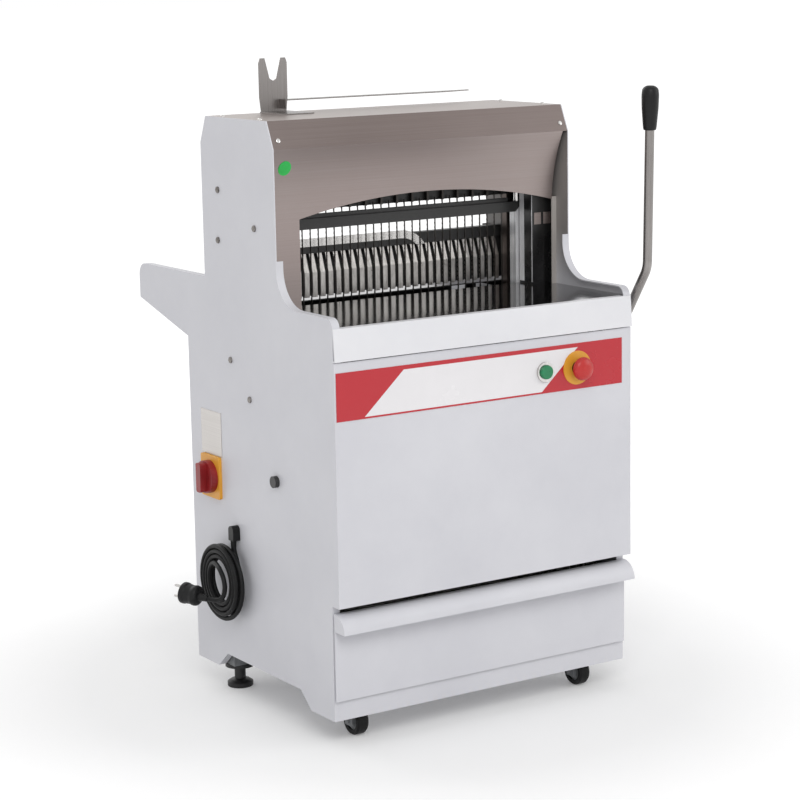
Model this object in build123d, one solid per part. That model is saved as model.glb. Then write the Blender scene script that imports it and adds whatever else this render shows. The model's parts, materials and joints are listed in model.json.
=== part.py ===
from build123d import *
import math
import os

# Floor-standing bread slicing machine. Millimetres, +X to the machine's right, +Y to its back, +Z up.
# It is drawn with x = 0 on the middle plane, y = 0 on the lower front edge and z = 0 on the floor,
# and moved at the end so that the origin is the middle of its footprint.

# ---- driving dimensions: body ----
BODY_W = 600.0            # over the two side panels
BODY_D = 470.0            # lower body, front edge to back
BODY_H = 1018.0           # floor to hood top
TABLE_Z = 699.0           # working height
PANEL_T = 2.0             # side panel sheet
FLANGE_W = 14.0           # side panel return flange, sheet included
FLANGE_TOP_Z = TABLE_Z + 91.0      # the return flange stops here, where the hood takes over
PANEL_BOTTOM_Z = 45.0
NOTCH_Z = 73.5            # underside of the raised middle of the body
FRONT_NOTCH_Y = 74.7
REAR_NOTCH_Y = BODY_D - 75.0
NOTCH_RUN = 34.0          # length of the slant at either end of the notch
COVER_STEP = 20.0         # the upper front stands this far ahead of the drawer's plane
COVER_BOTTOM_Z = 241.0
TAB_TOP_Z = TABLE_Z + 16.0    # side panel edge beside the discharge table
TAB_R = 17.0
COLUMN_FRONT_Y = 153.0
COLUMN_BACK_Y = 400.0
COLUMN_R = 62.0           # sweep from the tab into the column
CHAMFER_Y = 20.0
CHAMFER_Z = 45.4
WING_Y = BODY_D + 181.0    # end of the infeed wings
WING_TOP_Z = TABLE_Z + 43.0
WING_LOW_Z = TABLE_Z - 20.0
WING_ROOT_Z = TABLE_Z - 70.0
WING_R = 22.0

HALF = BODY_W / 2
INNER = HALF - PANEL_T    # inner face of a side panel
RIM = HALF - FLANGE_W     # free edge of its flange

# ---- tables, covers and hood ----
SHEET = 2.0               # folded covers and tables
HOOD_T = 1.5              # stainless hood and guard
SLOT_Y0 = 238.0           # blade slot between the two tables
SLOT_Y1 = 290.0
REAR_TABLE_Y1 = WING_Y - 11.0
REAR_TABLE_HALF = HALF - 38.0
NOSE_Z = TABLE_Z - 53.0
NOSE_OUT = 4.0            # the nose stands this far ahead of the front cover at its foot
HOOD_BACK_Z = BODY_H - 143.0
GUARD_SEAM_Z = BODY_H - 168.0
GUARD_Y = 187.0           # guard's lower edge
GUARD_MID = (177.0, BODY_H - 106.0)
GUARD_X1 = HALF - 12.0
LEG_X1 = 67.0 - HALF
ARCH_X = 25.0
ARCH_TOP_Z = BODY_H - 135.0
ARCH_HALF = 258.0
ARCH_RISE = 31.0
HOUSING = (40.0, 38.0)    # guide housing, width and depth
HOUSING_GAP = 4.0         # from the side panel

# ---- blade frames ----
PITCH = 16.0              # slice thickness
BLADES = 30
BLADE_T = 0.8
BLADE_W = 4.5
BLADE_OVER = 18.0         # blade ends stand this far above the upper bar
FERRULE_W = 4.0           # blocks that hold a blade to the inner face of its bars
FERRULE_HALF = 3.0
STROKE = 30.0
BAR = 18.0                # frame bar, square
FRAME_HALF = HALF - 53.0    # inside the frame's side bars
FRONT_FRAME_Y = 249.0
REAR_FRAME_Y = 277.0
BLADE_Y = (FRONT_FRAME_Y + REAR_FRAME_Y) / 2    # both sets cut in one plane
FRAME_LOW_Z = TABLE_Z - 89.0    # underside of a frame in its lowest place
FRAME_TALL = 235.0
SHAFT_R = 6.0
SHAFT_GAP = 0.3
CLAMP = (8.0, 7.0)        # strip along the top of a frame, depth and height
CLAMP_INSET = 12.0

TOP_BEAM_Z = BODY_H - 33.0
TOP_BEAM_H = 20.0
BEAM_OVER = 13.0          # the upper beam reaches this far past the shafts
LOW_BEAM_Y = SLOT_Y1 + 10.0
LOW_BEAM_TOP = FRAME_LOW_Z - 20.0
HOLDER_HALF = 10.0
YOKE_GAP = 2.5            # yoke plate to connecting rod
POST_X = 200.0
POST_T = 4.0
LIP_H = 15.0

# ---- crank drive ----
CRANK_Y = 263.0
CRANK_Z = FRAME_LOW_Z - 180.0
THROW = STROKE / 2
CRANK_R = 12.0
ECC_R = 28.0
ECC_W = 12.0
ROD_L = 115.0             # eccentric centre to wrist pin
STRAP_R = 38.0
PIN_R = 5.0
PIN_REACH = 16.0
ROD_HALF = 8.0
FIT = 0.1                 # radial running clearance
FRONT_ROD_X = 120.0
REAR_ROD_X = 60.0
BEARING_X = 180.0
BEARING_W = 30.0
BEARING_HALF = 20.0
BEARING_RISE = 26.0
BEAM = 30.0               # cross beam, depth
BEAM_H = 25.0
CRANK_BEAM_TOP = CRANK_Z - 97.0    # low enough to pass under the belt
MOTOR_Y = BODY_D - 85.0
MOTOR_Z = CRANK_Z - 130.0
MOTOR_R = 65.0
MOTOR_X = (-215.0, 25.0)
MOTOR_SHAFT_R = 9.5
BELT_X = 59.0 - HALF
BELT_W = 14.0
BELT_T = 5.0
BELT_GAP = 0.3
CRANK_PULLEY_R = 75.0
MOTOR_PULLEY_R = 35.0
PULLEY_W = 20.0
MOTOR_PLATE_T = 6.0
MOTOR_PLATE_TOP = MOTOR_Z - MOTOR_R
FIN_H = 5.0
FIN_T = 5.0
FIN_STEP = 15.0
FINS = 12
FOOT_INSET = 25.0
FOOT_HALF = 50.0
FOOT_H = 12.0
TERMINALS = (90.0, 70.0, 22.0)

# ---- pusher and lever ----
TRAVEL = 240.0            # pusher, front to back
LEVER_Y = 170.0
LEVER_Z = 419.0
LEVER_X = HALF + 17.0
LEVER_SHAFT_R = 10.0
LEVER_ROD_R = 8.0
LEVER_BEND = (-46.0, 747.0)
LEVER_TOP = (-52.0, 1000.0)
LEVER_BEND_R = 45.0
KNOB_R = 15.0
KNOB_Z = (982.0, 1058.0)
HUB_R = 20.0
DRAG_Z = TABLE_Z - 49.0    # height of the drag bar's pin
ARM_T = 5.0
ARM_X = HALF - 13.0
ARM_W = 34.0
ARM_R = 272.0
ARM_SLOT = 18.0
SLIDE_X = HALF - 22.0
SLIDE_Z = TABLE_Z - 13.0
SLIDE_R = 6.0
MOUNT_L = 16.0
MOUNT_HALF = 9.0
RUN_HALF = 9.5            # carriage block above the rod
DRAG_HALF = 10.0
DRAG_T = 5.0
UPRIGHT_T = 8.0
COMB_T = 16.0             # depth of the comb bar and the uprights
SLIDE_Y = (14.0, WING_Y - 19.0)
COMB_Y = SLOT_Y1          # front of the comb's fingers
CARRIAGE_Y = (COMB_Y + 6.0, COMB_Y + 60.0)
COMB_KINK_Z = TABLE_Z + 47.0
COMB_TOP_Z = TABLE_Z + 99.0
COMB_BAR = 20.0
COMB_GAP = 4.0            # fingers and plate clear the table
COMB_BACK_Y = COMB_Y + 10.0    # front of the bar behind the fingers
BOW_W = 14.0
BOW_T = 3.0
BOW_R = 50.0
BOW_BEND_X = 40.0
BOW_DIP = 21.0            # the bright strip's end drops this far below the comb's top
FINGER_W = 9.0
FINGER_T = 4.0
FINGER_LEAN = 12.0

# ---- drawer, feet and wheels ----
DRAWER_Z = (79.5, 229.0)
DRAWER_FRONT_Y = -5.0
DRAWER_BOX = (HALF - 20.0, BODY_D - 30.0, 130.0)   # half width, back, height
DRAWER_T = 1.5
DRAWER_TRAVEL = 340.0
LIP_R = 30.0
RUNNER_W = 36.0
DRAWER_FLOOR = 84.0       # top of the runners
WHEEL_R = 25.0
WHEEL_W = 22.0
WHEEL_X = HALF - 68.0
WHEEL_Y = 45.0
AXLE_R = 4.0
CHEEK_T = 3.0
CHEEK_HALF = 11.0
FOOT_PAD = 24.0
FOOT_X = HALF - 42.0
FOOT_Y = REAR_NOTCH_Y
FOOT_R = 23.0
FOOT_FLANGE_R = 26.0
FOOT_STEM_R = 10.0
FOOT_TOP_Z = 44.0

# ---- controls and labels ----
LABEL_X = (3.0 - HALF, HALF - 20.0)
LABEL_Z = (NOSE_Z - 97.0, NOSE_Z - 18.0)
LABEL_T = 0.8
BUTTON_Z = NOSE_Z - 60.0
START_X = 115.0
START_R = 12.0
BEZEL_R = 17.0
BEZEL_T = 4.0
STOP_X = 183.0
STOP_DISC_R = 29.0
STOP_DISC_T = 1.5
STOP_HEAD_R = 20.0
STOP_NECK_R = 11.0
BUTTON_GAP = 0.4
ISOLATOR_Y = BODY_D - 76.0
ISOLATOR_Z = 390.0
ISOLATOR_BOX = (6.0, 65.0, 75.0)
ISOLATOR_R = 29.0
PLATE_SIZE = (0.8, 72.0, 78.0)
STICKER_R = 12.0
STICKER_AT = (30.0, BODY_H - 78.0)    # from the left edge and from the floor
STICKER_T = 0.6
GLUE_GAP = 0.05
BOLT_R = 5.5
BOLT_H = 4.0
SIDE_BOLTS = [
    (343, BODY_H - 123), (347, BODY_H - 209), (221, BODY_H - 179), (316, TABLE_Z - 93), (253, TABLE_Z - 153),
]
HOOD_RIVET_INSET = 12.0
RIVET_R = 4.0

# ---- bag fork ----
FORK_X = (-195.0, -139.0)
FORK_Y = COLUMN_BACK_Y - 22.0
FORK_TOP = BODY_H + 93.0
FORK_NOTCH = FORK_TOP - 39.0
FORK_WAIST = 26.0         # height of the fork's straight lower edge
FORK_FOOT = 90.0
ARM_END_X = 238.0
ARM_Z = BODY_H + 22.0
ARM_TAPER = 60.0
ARM_HOLD = 16.0
BAG_ARM_W = 20.0

# ---- mains cord ----
CORD_R = 4.2
CORD_GAP = 0.6
COIL_Y = BODY_D - 140.0
COIL_Z = 217.0
COIL_X = -HALF - 19.0           # layer beside the panel
COIL_R0 = 38.0            # innermost loop, on the cord's centre line
COIL_TURNS = 3            # loops out, and as many back in
COIL_TUCK = 3.0           # the first and last quarter loops close in by this much
COIL_RISE = 6.5           # the first and last quarter loops lift off their layers by this much
COIL_SWELL = 2.6          # the climbing half loop stands out by this much at its middle
GLAND = (14.0, 17.0, 26.0)
GLAND_ROUND = 8.0
GLAND_Z = COIL_Z + 74.0
GLAND_Y = COIL_Y - 19.0
TAIL_RUN = 19.0
TAIL = ((0, 0), (-13, 36), (-15, 72), (-13, 108), (-5, 144), (13, 178))    # lift and turn in degrees
PLUG_R = 19.0
PLUG_L = 34.0
SLEEVE_L = 18.0
SLEEVE_R = 7.5

FRONT_Y = -COVER_STEP - SHEET
LIFT = STROKE             # the rear frame rests this much above the front one
SHEET_TOP_Z = NOTCH_Z + PANEL_T + SHEET


def block(x, y, z):
    """A box from three (low, high) pairs."""
    size = [abs(b - a) for a, b in (x, y, z)]
    return Pos(*[(a + b) / 2 for a, b in (x, y, z)]) * Box(*size)


def bar_x(radius, x, y, z):
    """A cylinder along X from x[0] to x[1]."""
    return Pos((x[0] + x[1]) / 2, y, z) * Rot(0, 90, 0) * Cylinder(radius, abs(x[1] - x[0]))


def bar_y(radius, x, y, z):
    """A cylinder along Y from y[0] to y[1]."""
    return Pos(x, (y[0] + y[1]) / 2, z) * Rot(90, 0, 0) * Cylinder(radius, abs(y[1] - y[0]))


def bar_z(radius, x, y, z):
    """A cylinder along Z from z[0] to z[1]."""
    return Pos(x, y, (z[0] + z[1]) / 2) * Cylinder(radius, abs(z[1] - z[0]))


def side_face(points):
    """A closed outline of (y, z) points on the middle plane."""
    return make_face(Polyline(*[(0, y, z) for y, z in points], close=True))


def across(face, x0, x1):
    """Carry a (y, z) face from x0 to x1."""
    return extrude(Pos(x0, 0, 0) * face, amount=x1 - x0, dir=(1, 0, 0))


def front_face(points):
    """A closed outline of (x, z) points at y = 0."""
    return make_face(Polyline(*[(x, 0, z) for x, z in points], close=True))


def through(face, y0, y1):
    """Carry an (x, z) face from y0 to y1."""
    return extrude(Pos(0, y0, 0) * face, amount=y1 - y0, dir=(0, 1, 0))


def corner(face, y, z):
    """The corner of a (y, z) face nearest to a point."""
    return min(face.vertices(), key=lambda v: math.hypot(v.Y - y, v.Z - z))


def both(shape):
    """A shape and its mirror image on the other side."""
    return [shape, mirror(shape, Plane.YZ)]


def group(shapes):
    """Separate solids under one name."""
    return Compound(children=[s for shape in shapes for s in shape.solids()])


# ---- body shell ----

def panel_outline():
    points = [
        (0, PANEL_BOTTOM_Z), (0, COVER_BOTTOM_Z), (-COVER_STEP, COVER_BOTTOM_Z),
        (-COVER_STEP, TAB_TOP_Z), (COLUMN_FRONT_Y, TAB_TOP_Z), (COLUMN_FRONT_Y, BODY_H - CHAMFER_Z),
        (COLUMN_FRONT_Y + CHAMFER_Y, BODY_H), (COLUMN_BACK_Y - CHAMFER_Y, BODY_H),
        (COLUMN_BACK_Y, BODY_H - CHAMFER_Z), (COLUMN_BACK_Y, WING_TOP_Z), (WING_Y, WING_TOP_Z),
        (WING_Y, WING_LOW_Z), (BODY_D, WING_ROOT_Z), (BODY_D, PANEL_BOTTOM_Z),
        (REAR_NOTCH_Y, PANEL_BOTTOM_Z), (REAR_NOTCH_Y - NOTCH_RUN, NOTCH_Z),
        (FRONT_NOTCH_Y + NOTCH_RUN, NOTCH_Z), (FRONT_NOTCH_Y, PANEL_BOTTOM_Z),
    ]
    face = side_face(points)
    face = fillet(corner(face, -COVER_STEP, TAB_TOP_Z), TAB_R)
    face = fillet(corner(face, COLUMN_FRONT_Y, TAB_TOP_Z), COLUMN_R)
    return fillet(corner(face, WING_Y, WING_TOP_Z), WING_R)


def side_panel():
    """The left panel: a flat sheet with a return flange round its lower edge."""
    outline = panel_outline()
    sheet = across(outline, -HALF, -INNER)
    inside = offset(outline, -PANEL_T, kind=Kind.INTERSECTION)
    rim = across(outline, -INNER, -RIM) - across(inside, -INNER, -RIM)
    rim -= block((-HALF, 0), (COLUMN_FRONT_Y - COLUMN_R, COLUMN_BACK_Y + SHEET),
                 (FLANGE_TOP_Z, BODY_H + 1))
    hole = bar_x(LEVER_SHAFT_R + FIT, (-HALF - 1, -RIM), LEVER_Y, LEVER_Z)
    return sheet + rim - hole


def front_cover():
    sheet = block((-HALF, HALF), (FRONT_Y, -COVER_STEP), (COVER_BOTTOM_Z, NOSE_Z - SHEET))
    for x, radius in ((START_X, START_R), (STOP_X, STOP_NECK_R)):
        sheet -= bar_y(radius + BUTTON_GAP, x, (FRONT_Y - 1, -COVER_STEP + 1), BUTTON_Z)
    return sheet


def table_nose():
    """The white edge of the discharge table, folded out over the front cover."""
    foot = FRONT_Y - NOSE_OUT
    points = [
        (-COVER_STEP, NOSE_Z), (foot, NOSE_Z), (FRONT_Y, TABLE_Z), (-8, TABLE_Z),
        (-8, TABLE_Z - SHEET), (FRONT_Y + SHEET, TABLE_Z - SHEET), (foot + SHEET, NOSE_Z + SHEET),
        (-COVER_STEP, NOSE_Z + SHEET),
    ]
    nose = across(side_face(points), -HALF, HALF)
    return nose - both(block((-HALF - 1, -RIM), (-COVER_STEP, 0), (NOSE_Z - 1, TABLE_Z + 1)))


def front_table():
    return block((-INNER, INNER), (-8, SLOT_Y0), (TABLE_Z - SHEET, TABLE_Z))


def rear_table():
    """The infeed table with its side lips and the two posts it stands on."""
    top = block((-REAR_TABLE_HALF, REAR_TABLE_HALF), (SLOT_Y1, REAR_TABLE_Y1), (TABLE_Z - SHEET, TABLE_Z))
    lip = block((REAR_TABLE_HALF - SHEET, REAR_TABLE_HALF), (LOW_BEAM_Y, REAR_TABLE_Y1),
                (TABLE_Z - LIP_H, TABLE_Z - SHEET))
    post = block((POST_X - POST_T / 2, POST_X + POST_T / 2), (LOW_BEAM_Y + SHEET, LOW_BEAM_Y + BEAM - SHEET),
                 (LOW_BEAM_TOP, TABLE_Z - SHEET))
    return top + both(lip) + both(post)


def base_tray():
    """The floor of the body, folded down at the front as a skirt."""
    floor = block((-INNER, INNER), (PANEL_T, BODY_D - PANEL_T), (NOTCH_Z + PANEL_T, SHEET_TOP_Z))
    skirt = block((-RIM, RIM), (0, SHEET), (PANEL_BOTTOM_Z, SHEET_TOP_Z))
    return floor + skirt


def rear_cover():
    lower = block((-RIM, RIM), (BODY_D - SHEET, BODY_D), (SHEET_TOP_Z, WING_ROOT_Z))
    upper = block((-REAR_TABLE_HALF + SHEET, REAR_TABLE_HALF - SHEET), (BODY_D - SHEET, BODY_D),
                  (WING_ROOT_Z, TABLE_Z - SHEET))
    return lower + upper


def top_hood():
    """The stainless cap, folded to the panels' chamfers."""
    outer = [
        (COLUMN_FRONT_Y, BODY_H - CHAMFER_Z), (COLUMN_FRONT_Y + CHAMFER_Y, BODY_H),
        (COLUMN_BACK_Y - CHAMFER_Y, BODY_H), (COLUMN_BACK_Y, BODY_H - CHAMFER_Z),
        (COLUMN_BACK_Y, HOOD_BACK_Z),
    ]
    slope = HOOD_T / math.sin(math.atan2(CHAMFER_Z, CHAMFER_Y))
    corner_in = HOOD_T * math.tan(math.atan2(CHAMFER_Z, CHAMFER_Y) / 2)
    side_in = HOOD_T * math.tan(math.atan2(CHAMFER_Y, CHAMFER_Z) / 2)
    inner = [
        (COLUMN_BACK_Y - HOOD_T, HOOD_BACK_Z), (COLUMN_BACK_Y - HOOD_T, BODY_H - CHAMFER_Z - side_in),
        (COLUMN_BACK_Y - CHAMFER_Y - corner_in, BODY_H - HOOD_T),
        (COLUMN_FRONT_Y + CHAMFER_Y + corner_in, BODY_H - HOOD_T),
        (COLUMN_FRONT_Y + slope, BODY_H - CHAMFER_Z),
    ]
    return across(side_face(outer + inner), -INNER, INNER)


def guard_profile():
    """The rolled guard sheet in the side view."""
    top = (COLUMN_FRONT_Y, BODY_H - CHAMFER_Z)
    mid = GUARD_MID
    low = (GUARD_Y, GUARD_SEAM_Z)
    front = ThreePointArc(*[(0, y, z) for y, z in (top, mid, low)])
    back = ThreePointArc(*[(0, y + HOOD_T, z) for y, z in (low, mid, top)])
    ends = [Line(front @ 1, back @ 0), Line(back @ 1, front @ 0)]
    return make_face([front, ends[0], back, ends[1]])


def front_guard():
    radius = (ARCH_HALF ** 2 + ARCH_RISE ** 2) / (2 * ARCH_RISE)
    sheet = across(guard_profile(), -INNER, GUARD_X1)
    arch = bar_y(radius, ARCH_X, (GUARD_Y - 60, GUARD_Y + 30), ARCH_TOP_Z - radius)
    arch &= block((LEG_X1, GUARD_X1 + 1), (GUARD_Y - 60, GUARD_Y + 30), (GUARD_SEAM_Z - 1, ARCH_TOP_Z + 1))
    return sheet - arch


def guard_legs():
    left = block((-INNER, LEG_X1), (GUARD_Y, GUARD_Y + HOOD_T), (TABLE_Z, GUARD_SEAM_Z))
    right = block((GUARD_X1, INNER), (GUARD_Y, GUARD_Y + HOOD_T), (TABLE_Z, GUARD_SEAM_Z + 5))
    return group([left, right])


def guide_housings():
    x = INNER - HOUSING_GAP
    back = SLOT_Y0 - 0.5
    body = block((x - HOUSING[0], INNER), (back - HOUSING[1], back), (TABLE_Z, TOP_BEAM_Z))
    return group(both(body))


# ---- cross beams and the guides of the blade frames ----



def cross_beams():
    """Three beams from panel to panel; the lower one carries the feet of the guide shafts."""
    top = block((-INNER, INNER), (FRONT_FRAME_Y - BEAM_OVER, REAR_FRAME_Y + BEAM_OVER),
                (TOP_BEAM_Z, TOP_BEAM_Z + TOP_BEAM_H))
    low = block((-INNER, INNER), (LOW_BEAM_Y, LOW_BEAM_Y + BEAM), (LOW_BEAM_TOP - BEAM, LOW_BEAM_TOP))
    x = FRAME_HALF + BAR / 2
    foot = block((x - HOLDER_HALF, x + HOLDER_HALF), (FRONT_FRAME_Y - 11, LOW_BEAM_Y),
                 (LOW_BEAM_TOP - BAR, LOW_BEAM_TOP))
    crank = block((-INNER, INNER), (CRANK_Y - BEAM, CRANK_Y),
                  (CRANK_BEAM_TOP - BEAM_H, CRANK_BEAM_TOP))
    return group([top, low + both(foot), crank])


def guide_shafts():
    x = FRAME_HALF + BAR / 2
    shafts = []
    for y in (FRONT_FRAME_Y, REAR_FRAME_Y):
        shafts += both(bar_z(SHAFT_R, x, y, (LOW_BEAM_TOP, TOP_BEAM_Z)))
    return group(shafts)


# ---- blade frames ----

def yoke(y, rod_x, neck_top, pin_z):
    """Slotted plates either side of a connecting rod, hung under a frame."""
    half = THROW + PIN_R + 2
    tall = STROKE + PIN_R + 2
    wide = block((0, ARM_T), (CRANK_Y - half - 6, CRANK_Y + half + 6), (pin_z - tall - 7, pin_z + tall + 7))
    window = block((-1, ARM_T + 1), (CRANK_Y - half, CRANK_Y + half), (pin_z - tall, pin_z + tall))
    neck = block((0, ARM_T), (y - BAR / 2, y + BAR / 2), (pin_z + tall, neck_top))
    plate = wide + neck - window
    gap = ECC_W / 2 + YOKE_GAP
    return [Pos(x, 0, 0) * plate for x in (rod_x + gap, rod_x - gap - ARM_T)]


def blade_frame(y, low, rod_x, pin_z):
    half = BAR / 2
    outer = FRAME_HALF + BAR
    frame = block((-outer, outer), (y - half, y + half), (low, low + FRAME_TALL))
    frame -= block((-FRAME_HALF, FRAME_HALF), (y - half, y + half), (low + BAR, low + FRAME_TALL - BAR))
    bore = bar_z(SHAFT_R + SHAFT_GAP, FRAME_HALF + half, y, (low - 1, low + FRAME_TALL + 1))
    frame -= both(bore)
    for plate in yoke(y, rod_x, low, pin_z):
        frame += both(plate)
    return frame


def blade_places(start):
    return [(i - (BLADES - 1) / 2) * PITCH for i in range(start, BLADES, 2)]


def blades(y, low, start):
    """Every second blade with its two ferrules, and the clamp strip on top of the frame."""
    top = low + FRAME_TALL
    side = 1 if y < BLADE_Y else -1
    depth = sorted((y + side * BAR / 2, BLADE_Y + side * FERRULE_HALF))
    solids = []
    for x in blade_places(start):
        blade = block((x - BLADE_T / 2, x + BLADE_T / 2), (BLADE_Y - BLADE_W / 2, BLADE_Y + BLADE_W / 2),
                      (low, top + BLADE_OVER))
        for z in (low, top - BAR):
            blade += block((x - FERRULE_W / 2, x + FERRULE_W / 2), depth, (z, z + BAR))
        solids.append(blade)
    end = FRAME_HALF - CLAMP_INSET
    solids.append(block((-end, end), (y - CLAMP[0] / 2, y + CLAMP[0] / 2), (top, top + CLAMP[1])))
    return group(solids)


# ---- crank drive ----

def crankshaft():
    shaft = bar_x(CRANK_R, (BELT_X - PULLEY_W / 2, BEARING_X + BEARING_W / 2 + 8), CRANK_Y, CRANK_Z)
    for x, side in ((FRONT_ROD_X, -1), (REAR_ROD_X, 1)):
        shaft += both(bar_x(ECC_R, (x - ECC_W / 2, x + ECC_W / 2), CRANK_Y, CRANK_Z + side * THROW))
    return shaft


def con_rods(rod_x, side):
    """A pair of connecting rods whose straps ride on the eccentrics."""
    z = CRANK_Z + side * THROW
    x = (rod_x - ECC_W / 2, rod_x + ECC_W / 2)
    rod = bar_x(STRAP_R, x, CRANK_Y, z) + block(x, (CRANK_Y - ROD_HALF, CRANK_Y + ROD_HALF), (z, z + ROD_L))
    rod += bar_x(PIN_R + 6, x, CRANK_Y, z + ROD_L)
    rod -= bar_x(ECC_R + FIT, (x[0] - 1, x[1] + 1), CRANK_Y, z)
    rod += bar_x(PIN_R, (rod_x - PIN_REACH, rod_x + PIN_REACH), CRANK_Y, z + ROD_L)
    return group(both(rod))


def crank_bearings():
    body = block((BEARING_X - BEARING_W / 2, BEARING_X + BEARING_W / 2),
                 (CRANK_Y - BEARING_HALF, CRANK_Y + BEARING_HALF), (CRANK_BEAM_TOP, CRANK_Z + BEARING_RISE))
    body -= bar_x(CRANK_R + FIT, (BEARING_X - BEARING_W, BEARING_X + BEARING_W), CRANK_Y, CRANK_Z)
    return group(both(body))


def pulley(radius, y, z):
    """A grooved pulley in the belt's plane."""
    x = (BELT_X - PULLEY_W / 2, BELT_X + PULLEY_W / 2)
    wheel = bar_x(radius, x, y, z)
    groove = (BELT_X - BELT_W / 2 - BELT_GAP, BELT_X + BELT_W / 2 + BELT_GAP)
    return wheel - (bar_x(radius + 1, groove, y, z) - bar_x(radius - BELT_T, groove, y, z))


def crank_pulley():
    bore = bar_x(CRANK_R, (BELT_X - PULLEY_W, BELT_X + PULLEY_W), CRANK_Y, CRANK_Z)
    return pulley(CRANK_PULLEY_R, CRANK_Y, CRANK_Z) - bore


def motor_pulley():
    shaft = bar_x(MOTOR_SHAFT_R, (BELT_X + PULLEY_W / 2, MOTOR_X[0] - 0.5), MOTOR_Y, MOTOR_Z)
    return pulley(MOTOR_PULLEY_R, MOTOR_Y, MOTOR_Z) + shaft


def belt_face(grow):
    """The area inside a belt line that stands `grow` off both pulley grooves."""
    dy, dz = MOTOR_Y - CRANK_Y, MOTOR_Z - CRANK_Z
    run = math.hypot(dy, dz)
    radii = (CRANK_PULLEY_R - BELT_T + grow, MOTOR_PULLEY_R - BELT_T + grow)
    lean = math.acos((radii[0] - radii[1]) / run)
    heading = math.atan2(dz, dy)
    ends = [(CRANK_Y, CRANK_Z, radii[0]), (MOTOR_Y, MOTOR_Z, radii[1])]

    def touch(end, angle):
        y, z, radius = end
        return (y + radius * math.cos(angle), z + radius * math.sin(angle))

    up, down = heading + lean, heading - lean
    face = side_face([touch(ends[0], up), touch(ends[1], up), touch(ends[1], down), touch(ends[0], down)])
    solid = across(face, BELT_X - BELT_W / 2, BELT_X + BELT_W / 2)
    for y, z, radius in ends:
        solid += bar_x(radius, (BELT_X - BELT_W / 2, BELT_X + BELT_W / 2), y, z)
    return solid


def drive_belt():
    return belt_face(BELT_T) - belt_face(BELT_GAP)


def motor():
    """Motor body with cooling fins, foot and terminal box."""
    body = bar_x(MOTOR_R - FIN_H, MOTOR_X, MOTOR_Y, MOTOR_Z)
    for i in range(FINS):
        x = MOTOR_X[0] + FOOT_INSET + i * FIN_STEP
        body += bar_x(MOTOR_R, (x, x + FIN_T), MOTOR_Y, MOTOR_Z)
    body += block((MOTOR_X[0] + FOOT_INSET, MOTOR_X[1] - FOOT_INSET),
                  (MOTOR_Y - FOOT_HALF, MOTOR_Y + FOOT_HALF), (MOTOR_PLATE_TOP, MOTOR_PLATE_TOP + FOOT_H))
    middle = sum(MOTOR_X) / 2
    body += block((middle - TERMINALS[0] / 2, middle + TERMINALS[0] / 2),
                  (MOTOR_Y - TERMINALS[1] / 2, MOTOR_Y + TERMINALS[1] / 2),
                  (MOTOR_Z + MOTOR_R - FOOT_H, MOTOR_Z + MOTOR_R + TERMINALS[2]))
    return body


def motor_plate():
    return block((-INNER, INNER), (MOTOR_Y - MOTOR_R, BODY_D - SHEET),
                 (MOTOR_PLATE_TOP - MOTOR_PLATE_T, MOTOR_PLATE_TOP))


# ---- lever and pusher ----

SWING = math.atan2(TRAVEL / 2, DRAG_Z - LEVER_Z)


def lever_shaft():
    """Cross shaft with the two forked arms that drive the carriage."""
    shaft = bar_x(LEVER_SHAFT_R, (-HALF - 8, LEVER_X + 12), LEVER_Y, LEVER_Z)
    arm = block((ARM_X, ARM_X + ARM_T), (-ARM_W / 2, ARM_W / 2), (0, ARM_R))
    arm += bar_x(ARM_W / 2 + 4, (ARM_X, ARM_X + ARM_T), 0, 0)
    arm -= block((ARM_X - 1, ARM_X + ARM_T + 1), (-ARM_SLOT / 2, ARM_SLOT / 2),
                 (DRAG_Z - LEVER_Z - ARM_SLOT, ARM_R + 1))
    arm = Pos(0, LEVER_Y, LEVER_Z) * Rot(math.degrees(SWING), 0, 0) * arm
    return shaft + both(arm)


def feed_lever():
    """The bent hand lever with its hub, outside the right panel."""
    route = [(LEVER_X, LEVER_Y, LEVER_Z), (LEVER_X, *LEVER_BEND), (LEVER_X, *LEVER_TOP)]
    line = FilletPolyline(*route, radius=LEVER_BEND_R)
    rod = sweep(Plane(origin=line @ 0, z_dir=line % 0) * Circle(LEVER_ROD_R), path=line)
    hub = bar_x(HUB_R, (LEVER_X - 12, LEVER_X + 12), LEVER_Y, LEVER_Z)
    return rod + hub - bar_x(LEVER_SHAFT_R, (HALF, LEVER_X + 12), LEVER_Y, LEVER_Z)


def lever_knob():
    """Black grip pushed over the top of the lever."""
    lean = math.degrees(math.atan2(LEVER_BEND[0] - LEVER_TOP[0], LEVER_TOP[1] - LEVER_BEND[1]))
    tall = KNOB_Z[1] - KNOB_Z[0]
    profile = [(0, 0), (KNOB_R - 3, 0), (KNOB_R - 2, 8), (KNOB_R, tall * 0.55), (KNOB_R - 1, tall - 12),
               (KNOB_R - 5, tall - 3), (0, tall)]
    grip = revolve(make_face(Polyline(*[(x, 0, z) for x, z in profile], close=True)), Axis.Z)
    base = LEVER_TOP[1] - KNOB_Z[0]
    grip -= bar_z(LEVER_ROD_R, 0, 0, (-1, base))
    return Pos(LEVER_X, *LEVER_TOP) * Rot(lean, 0, 0) * Pos(0, 0, -base) * grip


def slide_rods():
    return group(both(bar_y(SLIDE_R, SLIDE_X, SLIDE_Y, SLIDE_Z)))


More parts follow.
